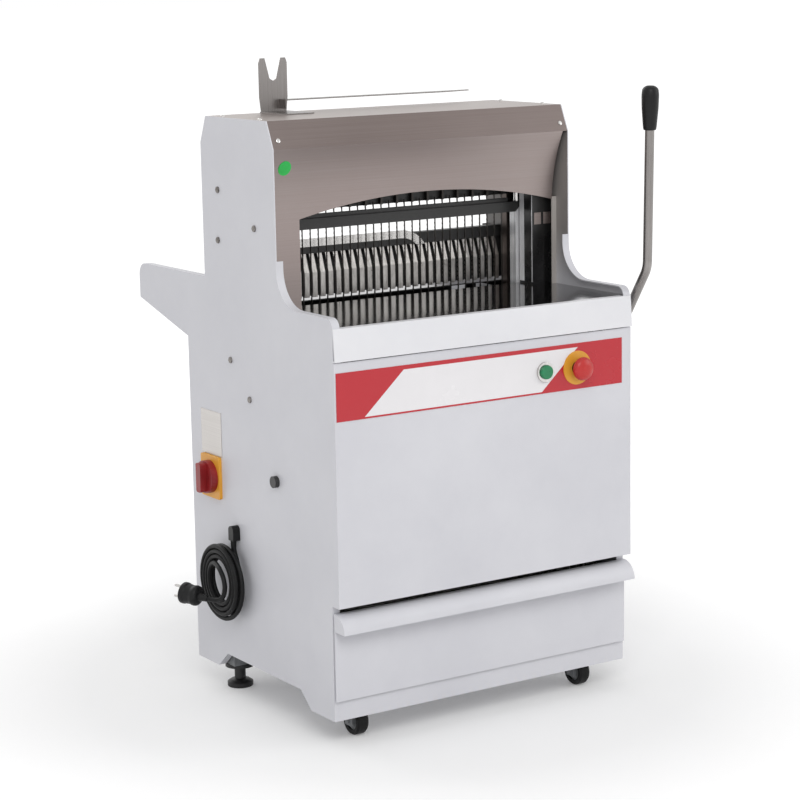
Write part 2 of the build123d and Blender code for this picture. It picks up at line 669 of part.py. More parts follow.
def rod_mounts():
    """Blocks that hold both ends of the slide rods on the side panels."""
    solids = []
    for y in ((SLIDE_Y[0], SLIDE_Y[0] + MOUNT_L), (SLIDE_Y[1] - MOUNT_L, SLIDE_Y[1])):
        body = block((SLIDE_X - MOUNT_HALF, INNER), y, (SLIDE_Z - MOUNT_HALF, SLIDE_Z + MOUNT_HALF))
        solids += both(body - bar_y(SLIDE_R, SLIDE_X, (y[0] - 1, y[1] + 1), SLIDE_Z))
    return group(solids)


def pusher_carriage():
    """Blocks that run on the slide rods, each with its upright and its drag bar and pin."""
    pin_y = LEVER_Y - TRAVEL / 2
    low = DRAG_Z - DRAG_HALF
    high = SLIDE_Z + RUN_HALF
    inside = SLIDE_X - MOUNT_HALF - 1
    body = block((inside, SLIDE_X + UPRIGHT_T), CARRIAGE_Y, (low, high))
    body -= bar_y(SLIDE_R + SHAFT_GAP, SLIDE_X, (CARRIAGE_Y[0] - 1, CARRIAGE_Y[1] + 1), SLIDE_Z)
    drag = block((SLIDE_X, SLIDE_X + DRAG_T), (pin_y - DRAG_HALF, CARRIAGE_Y[0]), (low, DRAG_Z + DRAG_HALF))
    pin = bar_x(PIN_R, (SLIDE_X + DRAG_T, ARM_X + ARM_T + 1), pin_y, DRAG_Z)
    upright = block((inside, inside + UPRIGHT_T), (COMB_BACK_Y, COMB_BACK_Y + COMB_T), (high, COMB_TOP_Z))
    return group(both(body + drag + pin + upright))


def pusher_comb():
    """The comb that pushes the loaf: a bar with a finger between every two blades."""
    bar_low = COMB_TOP_Z - COMB_BAR
    half = SLIDE_X - MOUNT_HALF - 1
    comb = block((-half, half), (COMB_BACK_Y, COMB_BACK_Y + COMB_T), (bar_low, COMB_TOP_Z))
    lean = FINGER_LEAN
    profile = side_face([
        (COMB_Y, TABLE_Z + COMB_GAP), (COMB_Y, COMB_KINK_Z), (COMB_Y + lean, bar_low + 3),
        (COMB_Y + lean + FINGER_T, bar_low + 3), (COMB_Y + FINGER_T, COMB_KINK_Z - 1),
        (COMB_Y + FINGER_T, TABLE_Z + COMB_GAP),
    ])
    for i in range(-(BLADES // 2), BLADES // 2 + 1):
        comb += across(profile, i * PITCH - FINGER_W / 2, i * PITCH + FINGER_W / 2)
    return comb


def pusher_plate():
    """Backing sheet behind the fingers, welded under the comb's bar."""
    half = SLIDE_X - MOUNT_HALF - 1
    back = COMB_BACK_Y + COMB_T / 2
    return block((-half, half), (back, back + SHEET), (TABLE_Z + COMB_GAP, COMB_TOP_Z - COMB_BAR))


def pusher_bow():
    """The bright curved strip along the top of the comb."""
    half = BOW_W / 2
    middle_z = COMB_TOP_Z - 1
    strip = block((MOUNT_HALF + 1 - SLIDE_X, BOW_BEND_X), (0, BOW_T), (middle_z - half, middle_z + half))
    ring = bar_y(BOW_R + half, BOW_BEND_X, (0, BOW_T), middle_z - BOW_R)
    ring -= bar_y(BOW_R - half, BOW_BEND_X, (-1, BOW_T + 1), middle_z - BOW_R)
    ring &= block((BOW_BEND_X, BOW_BEND_X + 2 * BOW_R), (0, BOW_T), (COMB_TOP_Z - BOW_DIP, middle_z + half))
    return Pos(0, COMB_BACK_Y - BOW_T, 0) * (strip + ring)


# ---- drawer ----

def drawer_runners():
    ledge = block((INNER - RUNNER_W, INNER), (PANEL_T + 2, DRAWER_BOX[1] + 10), (SHEET_TOP_Z, DRAWER_FLOOR))
    return group(both(ledge))


def drawer_box():
    half, back, tall = DRAWER_BOX
    low = DRAWER_FLOOR + SHAFT_GAP
    front = DRAWER_FRONT_Y + SHEET
    box = block((-half, half), (front, back), (low, low + tall))
    return box - block((-half + DRAWER_T, half - DRAWER_T), (front + DRAWER_T, back - DRAWER_T),
                       (low + DRAWER_T, low + tall + 1))


def drawer_front():
    """Front plate with the rolled pull along its whole top edge, closed at both ends."""
    half = HALF - 1
    top = DRAWER_Z[1]
    plate = block((-half, half), (DRAWER_FRONT_Y, DRAWER_FRONT_Y + SHEET), DRAWER_Z)
    quarter = block((-half, half), (DRAWER_FRONT_Y - LIP_R, DRAWER_FRONT_Y), (top - LIP_R, top))
    roll = bar_x(LIP_R, (-half, half), DRAWER_FRONT_Y, top - LIP_R)
    hollow = bar_x(LIP_R - SHEET, (-half + SHEET, half - SHEET), DRAWER_FRONT_Y, top - LIP_R)
    return plate + ((roll & quarter) - hollow)


# ---- feet and wheels ----

def mounting_brackets():
    """Wheel forks with their axles at the front, foot pads at the back."""
    top_z = NOTCH_Z + PANEL_T
    cheek = WHEEL_W / 2 + 1
    fork = block((WHEEL_X - cheek - CHEEK_T, WHEEL_X + cheek + CHEEK_T),
                 (WHEEL_Y - WHEEL_R, WHEEL_Y + WHEEL_R), (top_z - CHEEK_T, top_z))
    for x in (WHEEL_X - cheek - CHEEK_T, WHEEL_X + cheek):
        fork += block((x, x + CHEEK_T), (WHEEL_Y - CHEEK_HALF, WHEEL_Y + CHEEK_HALF),
                      (WHEEL_R - 2 * AXLE_R, top_z))
    end = cheek + 2 * CHEEK_T
    fork += bar_x(AXLE_R, (WHEEL_X - end, WHEEL_X + end), WHEEL_Y, WHEEL_R)
    pad = block((FOOT_X - FOOT_PAD, FOOT_X + FOOT_PAD), (FOOT_Y - FOOT_PAD, FOOT_Y + FOOT_PAD),
                (FOOT_TOP_Z, top_z))
    return group(both(fork) + both(pad))


def wheel():
    """The right wheel: tread with a raised hub."""
    x = (WHEEL_X - WHEEL_W / 2, WHEEL_X + WHEEL_W / 2)
    body = bar_x(WHEEL_R, x, WHEEL_Y, WHEEL_R)
    rim = [e for e in body.edges().filter_by(GeomType.CIRCLE)]
    body = fillet(rim, 3)
    dish = bar_x(WHEEL_R * 0.62, (x[1] - 3, x[1] + 1), WHEEL_Y, WHEEL_R)
    dish -= bar_x(WHEEL_R * 0.3, (x[1] - 3, x[1] + 1), WHEEL_Y, WHEEL_R)
    body -= dish
    body -= Pos(2 * WHEEL_X, 0, 0) * mirror(dish, Plane.YZ)
    return body - bar_x(AXLE_R + FIT, (x[0] - 1, x[1] + 1), WHEEL_Y, WHEEL_R)


def levelling_feet():
    z = FOOT_TOP_Z
    points = [
        (0, 0), (FOOT_R - 1, 0), (FOOT_R, 1), (FOOT_R, 8), (FOOT_R - 6, 12), (FOOT_STEM_R, 14),
        (FOOT_STEM_R, z - 8), (FOOT_FLANGE_R, z - 7), (FOOT_FLANGE_R, z), (0, z),
    ]
    foot = revolve(make_face(Polyline(*[(x, 0, h) for x, h in points], close=True)), Axis.Z)
    return group(both(Pos(FOOT_X, FOOT_Y, 0) * foot))


# ---- controls, labels and fasteners ----

def label_strip():
    """Bare front label strip."""
    y = (FRONT_Y - LABEL_T, FRONT_Y)
    strip = block(LABEL_X, y, LABEL_Z)
    for x, radius in ((START_X, START_R), (STOP_X, STOP_NECK_R)):
        strip -= bar_y(radius + BUTTON_GAP, x, (y[0] - 1, y[1] + 1), BUTTON_Z)
    return strip


def round_sticker():
    """A plain disc that follows the rolled guard."""
    disc = bar_y(STICKER_R, -HALF + STICKER_AT[0], (GUARD_Y - 60, GUARD_Y), STICKER_AT[1])
    front = across(Pos(0, -STICKER_T, 0) * guard_profile(), -INNER, 0)
    back = across(Pos(0, -GLUE_GAP, 0) * guard_profile(), -INNER, 0)
    return disc & (front - back)


def button_bezel():
    y = (FRONT_Y - LABEL_T - BEZEL_T, FRONT_Y - LABEL_T)
    hole = bar_y(START_R + BUTTON_GAP, START_X, (y[0] - 1, y[1] + 1), BUTTON_Z)
    return bar_y(BEZEL_R, START_X, y, BUTTON_Z) - hole


def start_button():
    y0 = FRONT_Y - LABEL_T - BEZEL_T - 5
    cap = bar_y(START_R, START_X, (y0, -COVER_STEP + 12), BUTTON_Z)
    return fillet(cap.edges().filter_by(GeomType.CIRCLE).sort_by(Axis.Y)[0], 2)


def estop_disc():
    y = (FRONT_Y - LABEL_T - STOP_DISC_T, FRONT_Y - LABEL_T)
    hole = bar_y(STOP_NECK_R + BUTTON_GAP, STOP_X, (y[0] - 1, y[1] + 1), BUTTON_Z)
    return bar_y(STOP_DISC_R, STOP_X, y, BUTTON_Z) - hole


STOP_HEAD_BACK = FRONT_Y - 14


def estop_neck():
    """The sliding stem of the emergency stop."""
    return bar_y(STOP_NECK_R, STOP_X, (STOP_HEAD_BACK, -COVER_STEP + 12), BUTTON_Z)


def estop_button():
    """The mushroom head, which twists on its stem to unlatch."""
    r = STOP_HEAD_R
    points = [(0, 0), (r - 2, 0), (r, 2), (r, 6), (r - 3, 11), (r - 9, 14), (0, 15)]
    head = revolve(make_face(Polyline(*[(x, 0, h) for x, h in points], close=True)), Axis.Z)
    return Pos(STOP_X, STOP_HEAD_BACK, BUTTON_Z) * Rot(90, 0, 0) * head


def isolator_box():
    t, wide, tall = ISOLATOR_BOX
    body = block((-HALF - t, -HALF), (ISOLATOR_Y - wide / 2, ISOLATOR_Y + wide / 2),
                 (ISOLATOR_Z - tall / 2, ISOLATOR_Z + tall / 2))
    return fillet(body.edges().filter_by(Axis.X), 4)


def isolator_knob():
    """Round knob with a raised grip across it."""
    x = -HALF - ISOLATOR_BOX[0]
    disc = bar_x(ISOLATOR_R, (x - 12, x), ISOLATOR_Y, ISOLATOR_Z)
    grip = block((x - 24, x - 12), (ISOLATOR_Y - 8, ISOLATOR_Y + 8), (ISOLATOR_Z - 26, ISOLATOR_Z + 26))
    return disc + fillet(grip.edges().filter_by(Axis.X), 4)


def spec_plate():
    t, wide, tall = PLATE_SIZE
    low = ISOLATOR_Z + ISOLATOR_BOX[2] / 2 + 1
    return block((-HALF - t, -HALF), (ISOLATOR_Y - wide / 2, ISOLATOR_Y + wide / 2), (low, low + tall))


def panel_bolts():
    """Bolt heads on both side panels, and the hood's rivets."""
    solids = []
    for y, z in SIDE_BOLTS:
        solids += both(bar_x(BOLT_R, (HALF, HALF + BOLT_H), y, z))
    for y in (COLUMN_FRONT_Y + 60, COLUMN_BACK_Y - 60):
        solids += both(bar_z(RIVET_R, HALF - HOOD_RIVET_INSET, y, (BODY_H, BODY_H + BOLT_H - 1)))
    tilt = math.degrees(math.atan2(CHAMFER_Y, CHAMFER_Z))
    middle = (HALF - HOOD_RIVET_INSET - SHEET, COLUMN_FRONT_Y + CHAMFER_Y * 0.3, BODY_H - CHAMFER_Z * 0.7)
    rivet = Pos(*middle) * Rot(90 - tilt, 0, 0) * Pos(0, 0, RIVET_R / 4) * Cylinder(RIVET_R, RIVET_R / 2)
    return group(solids + both(rivet))


# ---- bag fork ----

def bag_fork():
    """Folded bracket on the hood with a V-notched upright."""
    x0, x1 = FORK_X
    mid = (x0 + x1) / 2
    tip = 6.0
    outline = front_face([
        (x0 + 3, BODY_H), (x0, BODY_H + FORK_WAIST), (x0, FORK_TOP - 8), (x0 + 3, FORK_TOP),
        (x0 + 2 * tip, FORK_TOP),
        (mid - 7, FORK_NOTCH + 4), (mid, FORK_NOTCH), (mid + 7, FORK_NOTCH + 4), (x1 - 2 * tip, FORK_TOP),
        (x1 - 3, FORK_TOP), (x1, FORK_TOP - 8), (x1, BODY_H + FORK_WAIST), (x1 - 3, BODY_H),
    ])
    upright = through(outline, FORK_Y - SHEET, FORK_Y)
    foot = block((x0, x1), (FORK_Y - FORK_FOOT, FORK_Y - SHEET), (BODY_H, BODY_H + SHEET))
    return upright + foot


def bag_arm():
    """Thin tapering strip that spreads a bag, held by the fork."""
    x0 = FORK_X[1] - ARM_HOLD
    back = FORK_Y - SHEET
    front = back - BAG_ARM_W
    outline = Polyline((x0, front), (ARM_END_X - ARM_TAPER, front), (ARM_END_X, back - BAG_ARM_W / 3),
                       (ARM_END_X, back), (x0, back), close=True)
    strip = extrude(Pos(0, 0, ARM_Z - SHEET) * make_face(outline), amount=SHEET, dir=(0, 0, 1))
    hook = block((x0, x0 + SHEET), (front, back), (ARM_Z - ARM_HOLD, ARM_Z - SHEET))
    return strip + hook


# ---- mains cord ----

COIL_PITCH = 2 * CORD_R + CORD_GAP
COIL_END = 2 * COIL_TURNS + 0.75


def coil_point(turn):
    """Centre line of the coil after so many turns, in along the panel and back in outside it."""
    even = 2 * COIL_TURNS + 0.5
    angle = 2 * math.pi * turn
    if turn <= COIL_TURNS:
        radius = COIL_R0 + COIL_PITCH * turn
    elif turn >= COIL_TURNS + 0.5:
        radius = COIL_R0 + COIL_PITCH * (even - turn)
    else:
        radius = COIL_R0 + COIL_PITCH * COIL_TURNS
    for end in (turn, COIL_END - turn):
        if end < 0.25:
            radius -= COIL_TUCK * (1 - end / 0.25) ** 2
    step = min(max((turn - COIL_TURNS) / 0.5, 0), 1)
    radius += COIL_SWELL * math.sin(math.pi * step) ** 2
    x = COIL_X - COIL_PITCH * (3 * step ** 2 - 2 * step ** 3)
    for end, side in ((turn, 1), (COIL_END - turn, -1)):
        if end < 0.25:
            x += side * COIL_RISE * (1 - end / 0.25) ** 2
    return Vector(x, COIL_Y - radius * math.cos(angle), COIL_Z - radius * math.sin(angle))


def coil_heading(turn):
    a, b = coil_point(turn - 1e-4), coil_point(turn + 1e-4)
    return (b - a).normalized()


def biarc(p0, t0, p1, t1):
    """Two arcs that leave p0 along t0 and arrive at p1 along t1."""
    v = p1 - p0
    t = t0 + t1
    a = 2 * (1 - t0.dot(t1))
    b = 2 * v.dot(t)
    c = -v.dot(v)
    d = (-b + math.sqrt(b * b - 4 * a * c)) / (2 * a) if a > 1e-9 else -c / b
    joint = (p0 + t0 * d + p1 - t1 * d) * 0.5
    chord = (p1 - t1 * d - p0 - t0 * d).normalized()
    return [TangentArc(p0, joint, tangent=t0), TangentArc(joint, p1, tangent=chord)]


def cord_coil():
    """The bundled cord: loops out along the panel, a climb, and loops back in."""
    stops = [min(i / 4, COIL_END) for i in range(math.ceil(COIL_END * 4) + 1)]
    start, start_dir = coil_point(0.0), quarter_heading(0.0)
    edges = [Line(start - start_dir * 2 * CORD_R, start)]
    for a, b in zip(stops[:-1], stops[1:]):
        edges += biarc(coil_point(a), quarter_heading(a), coil_point(b), quarter_heading(b))
    end, end_dir = coil_point(COIL_END), quarter_heading(COIL_END)
    edges.append(Line(end, end + end_dir * 2 * CORD_R))
    path = Wire(edges)
    profile = Plane(origin=path @ 0, z_dir=start_dir) * Circle(CORD_R)
    coil = sweep(profile, path=path)
    ratio = coil.volume / (math.pi * CORD_R ** 2 * path.length)
    print(f"coil length {path.length:.1f} mm, volume over section times length {ratio:.5f}")
    print(f"coil least gap to itself {least_gap(path):.2f} mm")
    return coil


def quarter_heading(turn):
    return coil_heading(min(max(turn, 1e-3), COIL_END - 1e-3))


def least_gap(path):
    """Least free space between stretches of the cord that are not next to each other."""
    count = 900
    points = [path @ (i / count) for i in range(count + 1)]
    step = path.length / count
    near = int(60 / step)
    gap = min((points[i] - points[j]).length
              for i in range(0, count + 1, 2) for j in range(i + near, count + 1))
    return gap - 2 * CORD_R


def tube(route, name):
    """A cord along straight runs joined by tangent arcs as large as the runs allow."""
    points = [Vector(*p) for p in route]
    radii = []
    for a, b, c in zip(points[:-2], points[1:-1], points[2:]):
        turn = math.radians((b - a).get_angle(c - b))
        radii.append(0.45 * min((b - a).length, (c - b).length) / math.tan(turn / 2))
    line = FilletPolyline(*points, radius=radii)
    body = sweep(Plane(origin=line @ 0, z_dir=line % 0) * Circle(CORD_R), path=line)
    ratio = body.volume / (math.pi * CORD_R ** 2 * line.length)
    shown = [round(r, 1) for r in radii]
    print(f"{name}: radii {shown} mm, length {line.length:.1f} mm, volume ratio {ratio:.5f}")
    return body


def lead_route():
    """From the outlet straight down behind the coil, into the innermost loop."""
    top = Vector(-HALF - CORD_R - 4.6, GLAND_Y, GLAND_Z)
    heading = quarter_heading(0.0)
    end = coil_point(0.0) - heading * 2 * CORD_R
    drop = (top.Z - end.Z) / 4
    return [
        tuple(top), (top.X, top.Y, top.Z - drop), (top.X + 1.5, top.Y - 6, top.Z - 2 * drop),
        tuple(end - heading * drop), tuple(end),
    ]


def plug_route():
    """From the top of the last loop down across the front of the ring and to the back."""
    heading = quarter_heading(COIL_END)
    point = coil_point(COIL_END) + heading * 2 * CORD_R
    route = [point]
    out = math.asin(-heading.X)
    flat = math.atan2(heading.Z, heading.Y)
    for lift, turn in TAIL:
        a = out + math.radians(lift)
        b = flat + math.radians(turn)
        step = Vector(-math.sin(a), math.cos(a) * math.cos(b), math.cos(a) * math.sin(b))
        point = point + step * TAIL_RUN
        route.append(point)
    return [tuple(p) for p in route]


def cord_gland():
    """Hooded outlet that points the cord down the panel."""
    deep, wide, tall = GLAND
    body = block((-HALF - deep, -HALF), (GLAND_Y - wide / 2, GLAND_Y + wide / 2), (GLAND_Z, GLAND_Z + tall))
    return fillet(body.edges().filter_by(Axis.X).group_by(Axis.Z)[-1], GLAND_ROUND)


def mains_plug():
    """Round plug with its sleeve and two pins, in line with the end of its lead."""
    before, end = [Vector(*p) for p in plug_route()[-2:]]
    body_end = SLEEVE_L + PLUG_L
    plug = bar_z(SLEEVE_R, 0, 0, (0, SLEEVE_L)) + bar_z(PLUG_R, 0, 0, (SLEEVE_L, body_end))
    for side in (-9.5, 9.5):
        plug += bar_z(2.4, side, 0, (body_end, body_end + 19))
    return Plane(origin=end, x_dir=(0, 0, 1), z_dir=end - before) * plug


def build():
    rear_low = FRAME_LOW_Z + LIFT
    front_pin = CRANK_Z - THROW + ROD_L
    rear_pin = CRANK_Z + THROW + ROD_L
    left = side_panel()
    right_wheel = wheel()
    return {
        "left_side_panel": left,
        "right_side_panel": mirror(left, Plane.YZ),
        "front_cover": front_cover(),
        "table_nose": table_nose(),
        "front_table": front_table(),
        "rear_table": rear_table(),
        "base_tray": base_tray(),
        "rear_cover": rear_cover(),
        "top_hood": top_hood(),
        "front_guard": front_guard(),
        "guard_legs": guard_legs(),
        "guide_housings": guide_housings(),
        "cross_beams": cross_beams(),
        "guide_shafts": guide_shafts(),
        "crank_bearings": crank_bearings(),
        "motor_plate": motor_plate(),
        "motor": motor(),
        "drive_belt": drive_belt(),
        "drawer_runners": drawer_runners(),
        "slide_rods": slide_rods(),
        "rod_mounts": rod_mounts(),
        "labels": group([label_strip(), round_sticker()]),
        "spec_plate": spec_plate(),
        "isolator_box": isolator_box(),
        "estop_disc": estop_disc(),
        "button_bezel": button_bezel(),
        "panel_bolts": panel_bolts(),
        "bag_fork": bag_fork(),
        "bag_arm": bag_arm(),
        "levelling_feet": levelling_feet(),
        "mounting_brackets": mounting_brackets(),
        "cord_gland": cord_gland(),
        "front_blade_frame": blade_frame(FRONT_FRAME_Y, FRAME_LOW_Z, FRONT_ROD_X, front_pin),
        "front_blades": blades(FRONT_FRAME_Y, FRAME_LOW_Z, 0),
        "rear_blade_frame": blade_frame(REAR_FRAME_Y, rear_low, REAR_ROD_X, rear_pin),
        "rear_blades": blades(REAR_FRAME_Y, rear_low, 1),
        "crankshaft": crankshaft(),
        "crank_pulley": crank_pulley(),
        "front_con_rods": con_rods(FRONT_ROD_X, -1),
        "rear_con_rods": con_rods(REAR_ROD_X, 1),
        "motor_pulley": motor_pulley(),
        "lever_shaft": lever_shaft(),
        "feed_lever": feed_lever(),
        "lever_knob": lever_knob(),
        "pusher_carriage": pusher_carriage(),
        "pusher_comb": pusher_comb(),
        "pusher_plate": pusher_plate(),
        "pusher_bow": pusher_bow(),
        "drawer_box": drawer_box(),
        "drawer_front": drawer_front(),
        "left_wheel": mirror(right_wheel, Plane.YZ),
        "right_wheel": right_wheel,
        "isolator_knob": isolator_knob(),
        "start_button": start_button(),
        "estop_neck": estop_neck(),
        "estop_button": estop_button(),
        "cord_lead": tube(lead_route(), "cord lead"),
        "cord_coil": cord_coil(),
        "plug_lead": tube(plug_route(), "plug lead"),
        "mains_plug": mains_plug(),
    }


ON_THE_CORD = ["cord_lead", "cord_coil", "plug_lead", "mains_plug", "cord_gland"]

parts = build()
boxes = [shape.bounding_box() for name, shape in parts.items() if name not in ON_THE_CORD]
middle_x = (min(b.min.X for b in boxes) + max(b.max.X for b in boxes)) / 2
middle_y = (min(b.min.Y for b in boxes) + max(b.max.Y for b in boxes)) / 2
floor_z = min(b.min.Z for b in boxes)
print(f"origin moved to x {middle_x:.4f}, y {middle_y:.4f}, z {floor_z:.4f}")

os.makedirs("parts", exist_ok=True)
for name, shape in parts.items():
    export_step(Pos(-middle_x, -middle_y, -floor_z) * shape, f"parts/{name}.step")
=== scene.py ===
# %% [markdown]
# # A bread slicing machine
# A floor-standing slicer in white sheet metal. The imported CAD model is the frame: it brings every
# panel, shaft and blade in its right place. This script dresses it. It gives each surface a
# procedural finish, models the soft or rounded pieces again with finer meshes, and lights the whole
# like a plain product picture.

# %% Load the frame
import json
import math
import bmesh
import bpy
from mathutils import Matrix, Vector


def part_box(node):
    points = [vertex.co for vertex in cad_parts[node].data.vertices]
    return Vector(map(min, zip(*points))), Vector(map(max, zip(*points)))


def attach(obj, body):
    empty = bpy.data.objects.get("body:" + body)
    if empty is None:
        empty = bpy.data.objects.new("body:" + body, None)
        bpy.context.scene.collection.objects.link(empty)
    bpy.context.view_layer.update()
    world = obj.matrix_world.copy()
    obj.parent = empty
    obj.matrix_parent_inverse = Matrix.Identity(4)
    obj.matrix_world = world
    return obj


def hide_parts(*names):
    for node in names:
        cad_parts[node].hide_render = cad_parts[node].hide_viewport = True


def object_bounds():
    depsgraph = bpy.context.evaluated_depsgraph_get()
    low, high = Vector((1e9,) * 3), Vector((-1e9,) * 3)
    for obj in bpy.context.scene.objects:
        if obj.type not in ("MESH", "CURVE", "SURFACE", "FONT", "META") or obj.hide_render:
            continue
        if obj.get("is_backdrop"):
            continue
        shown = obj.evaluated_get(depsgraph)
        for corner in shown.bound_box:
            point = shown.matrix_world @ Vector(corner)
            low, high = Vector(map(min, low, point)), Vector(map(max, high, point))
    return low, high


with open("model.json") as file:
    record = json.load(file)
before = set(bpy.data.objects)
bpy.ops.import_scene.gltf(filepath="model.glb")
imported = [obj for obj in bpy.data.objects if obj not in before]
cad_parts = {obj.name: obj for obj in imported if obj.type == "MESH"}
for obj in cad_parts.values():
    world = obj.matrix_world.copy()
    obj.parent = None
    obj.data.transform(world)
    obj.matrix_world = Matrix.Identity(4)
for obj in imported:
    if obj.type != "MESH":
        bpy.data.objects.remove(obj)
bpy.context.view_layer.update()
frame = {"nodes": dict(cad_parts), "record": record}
nodes = frame["nodes"]

# %% [markdown]
# ## Camera
# The photograph was taken from the front left, a little above the hood, with a long lens. A camera
# that was fitted to the machine's straight edges gives the place, the two angles and a small roll.

# %% Camera
CAMERA_PLACE = (-2.1686, -3.3947, 1.2582)
CAMERA_TURN = math.radians(-32.88)
CAMERA_DOWN = math.radians(10.60)
CAMERA_ROLL = math.radians(-1.04)

lens = bpy.data.cameras.new("photo_camera")
lens.sensor_width = 36.0
lens.lens = 103.75
lens.clip_end = 200.0
camera = bpy.data.objects.new("photo_camera", lens)
bpy.context.scene.collection.objects.link(camera)
turn = Matrix.Rotation(CAMERA_TURN, 4, "Z") @ Matrix.Rotation(math.pi / 2 - CAMERA_DOWN, 4, "X")
camera.matrix_world = Matrix.Translation(CAMERA_PLACE) @ turn @ Matrix.Rotation(CAMERA_ROLL, 4, "Z")
bpy.context.scene.camera = camera
print("camera distance", round(Vector(CAMERA_PLACE).length, 2), "m")

# %% [markdown]
# ## Shared effects
# Sheet metal with powder coat, brushed stainless and moulded plastic differ in their smallest
# relief. Each effect is one shader node group with named inputs, built once and used by several
# materials with other values. A group puts out only masks and heights; the shader stays outside.


# %% Helpers for node groups
def linear(hex_colour):
    """A #rrggbb colour as the linear values that a shader expects."""
    values = []
    for i in (1, 3, 5):
        c = int(hex_colour[i:i + 2], 16) / 255
        values.append(c / 12.92 if c <= 0.04045 else ((c + 0.055) / 1.055) ** 2.4)
    return (*values, 1.0)


def new_group(name, inputs, outputs):
    """An empty shader group with its sockets; inputs are (name, kind, default)."""
    group = bpy.data.node_groups.new(name, "ShaderNodeTree")
    for label, kind, value in inputs:
        socket = group.interface.new_socket(label, in_out="INPUT", socket_type=kind)
        if value is not None:
            socket.default_value = value
    for label in outputs:
        group.interface.new_socket(label, in_out="OUTPUT", socket_type="NodeSocketFloat")
    return group, group.nodes.new("NodeGroupInput"), group.nodes.new("NodeGroupOutput")


def add(tree, kind, links=(), **values):
    """A node with its properties set and its inputs linked or filled in."""
    node = tree.nodes.new(kind)
    for key, value in values.items():
        setattr(node, key, value)
    for socket, source in links:
        if hasattr(source, "is_output"):
            tree.links.new(source, node.inputs[socket])
        else:
            node.inputs[socket].default_value = source
    return node


FLOAT, VECTOR = "NodeSocketFloat", "NodeSocketVector"

# %% [markdown]
# Powder coat has a fine orange peel and, much broader, soft patches where it was handled. Two noises
# at different scales give both, and each material sets the scales for itself.

# %% Powder coat
coat_group, coat_in, coat_out = new_group(
    "orange_peel", [("Vector", VECTOR, None), ("Peel scale", FLOAT, 900.0), ("Patch scale", FLOAT, 4.0)],
    ["Patch", "Peel"])
peel = add(coat_group, "ShaderNodeTexNoise", [("Vector", coat_in.outputs["Vector"]),
           ("Scale", coat_in.outputs["Peel scale"]), ("Detail", 1.0)])
patch = add(coat_group, "ShaderNodeTexNoise", [("Vector", coat_in.outputs["Vector"]),
            ("Scale", coat_in.outputs["Patch scale"]), ("Detail", 5.0), ("Roughness", 0.62)])
coat_group.links.new(patch.outputs["Fac"], coat_out.inputs["Patch"])
coat_group.links.new(peel.outputs["Fac"], coat_out.inputs["Peel"])

# %% [markdown]
# A grinding belt leaves streaks in one direction. Noise does the same when its coordinates are
# stretched along one axis; a second, coarse noise clouds it.

# %% Brushed grain
grain_group, grain_in, grain_out = new_group(
    "drawn_grain", [("Vector", VECTOR, None), ("Stretch", VECTOR, (1.0, 1.0, 1.0)),
                    ("Cloud scale", FLOAT, 3.0)], ["Streak", "Cloud"])
drawn = add(grain_group, "ShaderNodeVectorMath", [(0, grain_in.outputs["Vector"]),
            (1, grain_in.outputs["Stretch"])], operation="MULTIPLY")
streak = add(grain_group, "ShaderNodeTexNoise", [("Vector", drawn.outputs[0]), ("Scale", 1.0),
             ("Detail", 6.0), ("Roughness", 0.7)])
cloud = add(grain_group, "ShaderNodeTexNoise", [("Vector", grain_in.outputs["Vector"]),
            ("Scale", grain_in.outputs["Cloud scale"]), ("Detail", 4.0)])
grain_group.links.new(streak.outputs["Fac"], grain_out.inputs["Streak"])
grain_group.links.new(cloud.outputs["Fac"], grain_out.inputs["Cloud"])
print("effects:", [g.name for g in bpy.data.node_groups])

# %% [markdown]
# ## Finishes
# Every finish has two tones that a mask mixes, a roughness that varies with the same mask, and a
# bump from the effect's height. The numbers differ: enamel is smooth with a trace of peel, the
# stainless sheets are drawn along the machine's width, castings are coarse.


# %% Material builders
def start_material(name):
    """A new material with its tree, its shader and its Object coordinates."""
    material = bpy.data.materials.new(name)
    material.use_nodes = True
    tree = material.node_tree
    shader = tree.nodes["Principled BSDF"]
    place = tree.nodes.new("ShaderNodeTexCoord")
    return material, tree, shader, place.outputs["Object"]


def tones(tree, shader, mask, low, high, rough, spread=(0.3, 0.7)):
    """Colour and roughness that both follow one mask, spread over a part of its range."""
    source = [("Value", mask), ("From Min", spread[0]), ("From Max", spread[1])]
    ramp = add(tree, "ShaderNodeMapRange", source)
    mix = add(tree, "ShaderNodeMix", [(0, ramp.outputs[0])], data_type="RGBA")
    mix.inputs[6].default_value = linear(low)
    mix.inputs[7].default_value = linear(high)
    tree.links.new(mix.outputs[2], shader.inputs["Base Color"])
    gloss = add(tree, "ShaderNodeMapRange", source + [("To Min", rough[0]), ("To Max", rough[1])])
    tree.links.new(gloss.outputs[0], shader.inputs["Roughness"])
    return mix


def relief(tree, shader, height, strength, distance):
    """A bump from a height."""
    bump = add(tree, "ShaderNodeBump", [("Height", height), ("Strength", strength), ("Distance", distance)])
    tree.links.new(bump.outputs[0], shader.inputs["Normal"])


def coated(name, low, high, rough, peel_scale=900.0, strength=0.05, patch_scale=4.0, metallic=0.0, shine=0.5):
    """Paint, plastic or rubber: the orange peel effect over two close tones."""
    material, tree, shader, place = start_material(name)
    effect = add(tree, "ShaderNodeGroup", node_tree=coat_group)
    tree.links.new(place, effect.inputs["Vector"])
    effect.inputs["Peel scale"].default_value = peel_scale
    effect.inputs["Patch scale"].default_value = patch_scale
    tones(tree, shader, effect.outputs["Patch"], low, high, rough)
    relief(tree, shader, effect.outputs["Peel"], strength, 0.0006)
    shader.inputs["Metallic"].default_value = metallic
    shader.inputs["Specular IOR Level"].default_value = shine
    return material


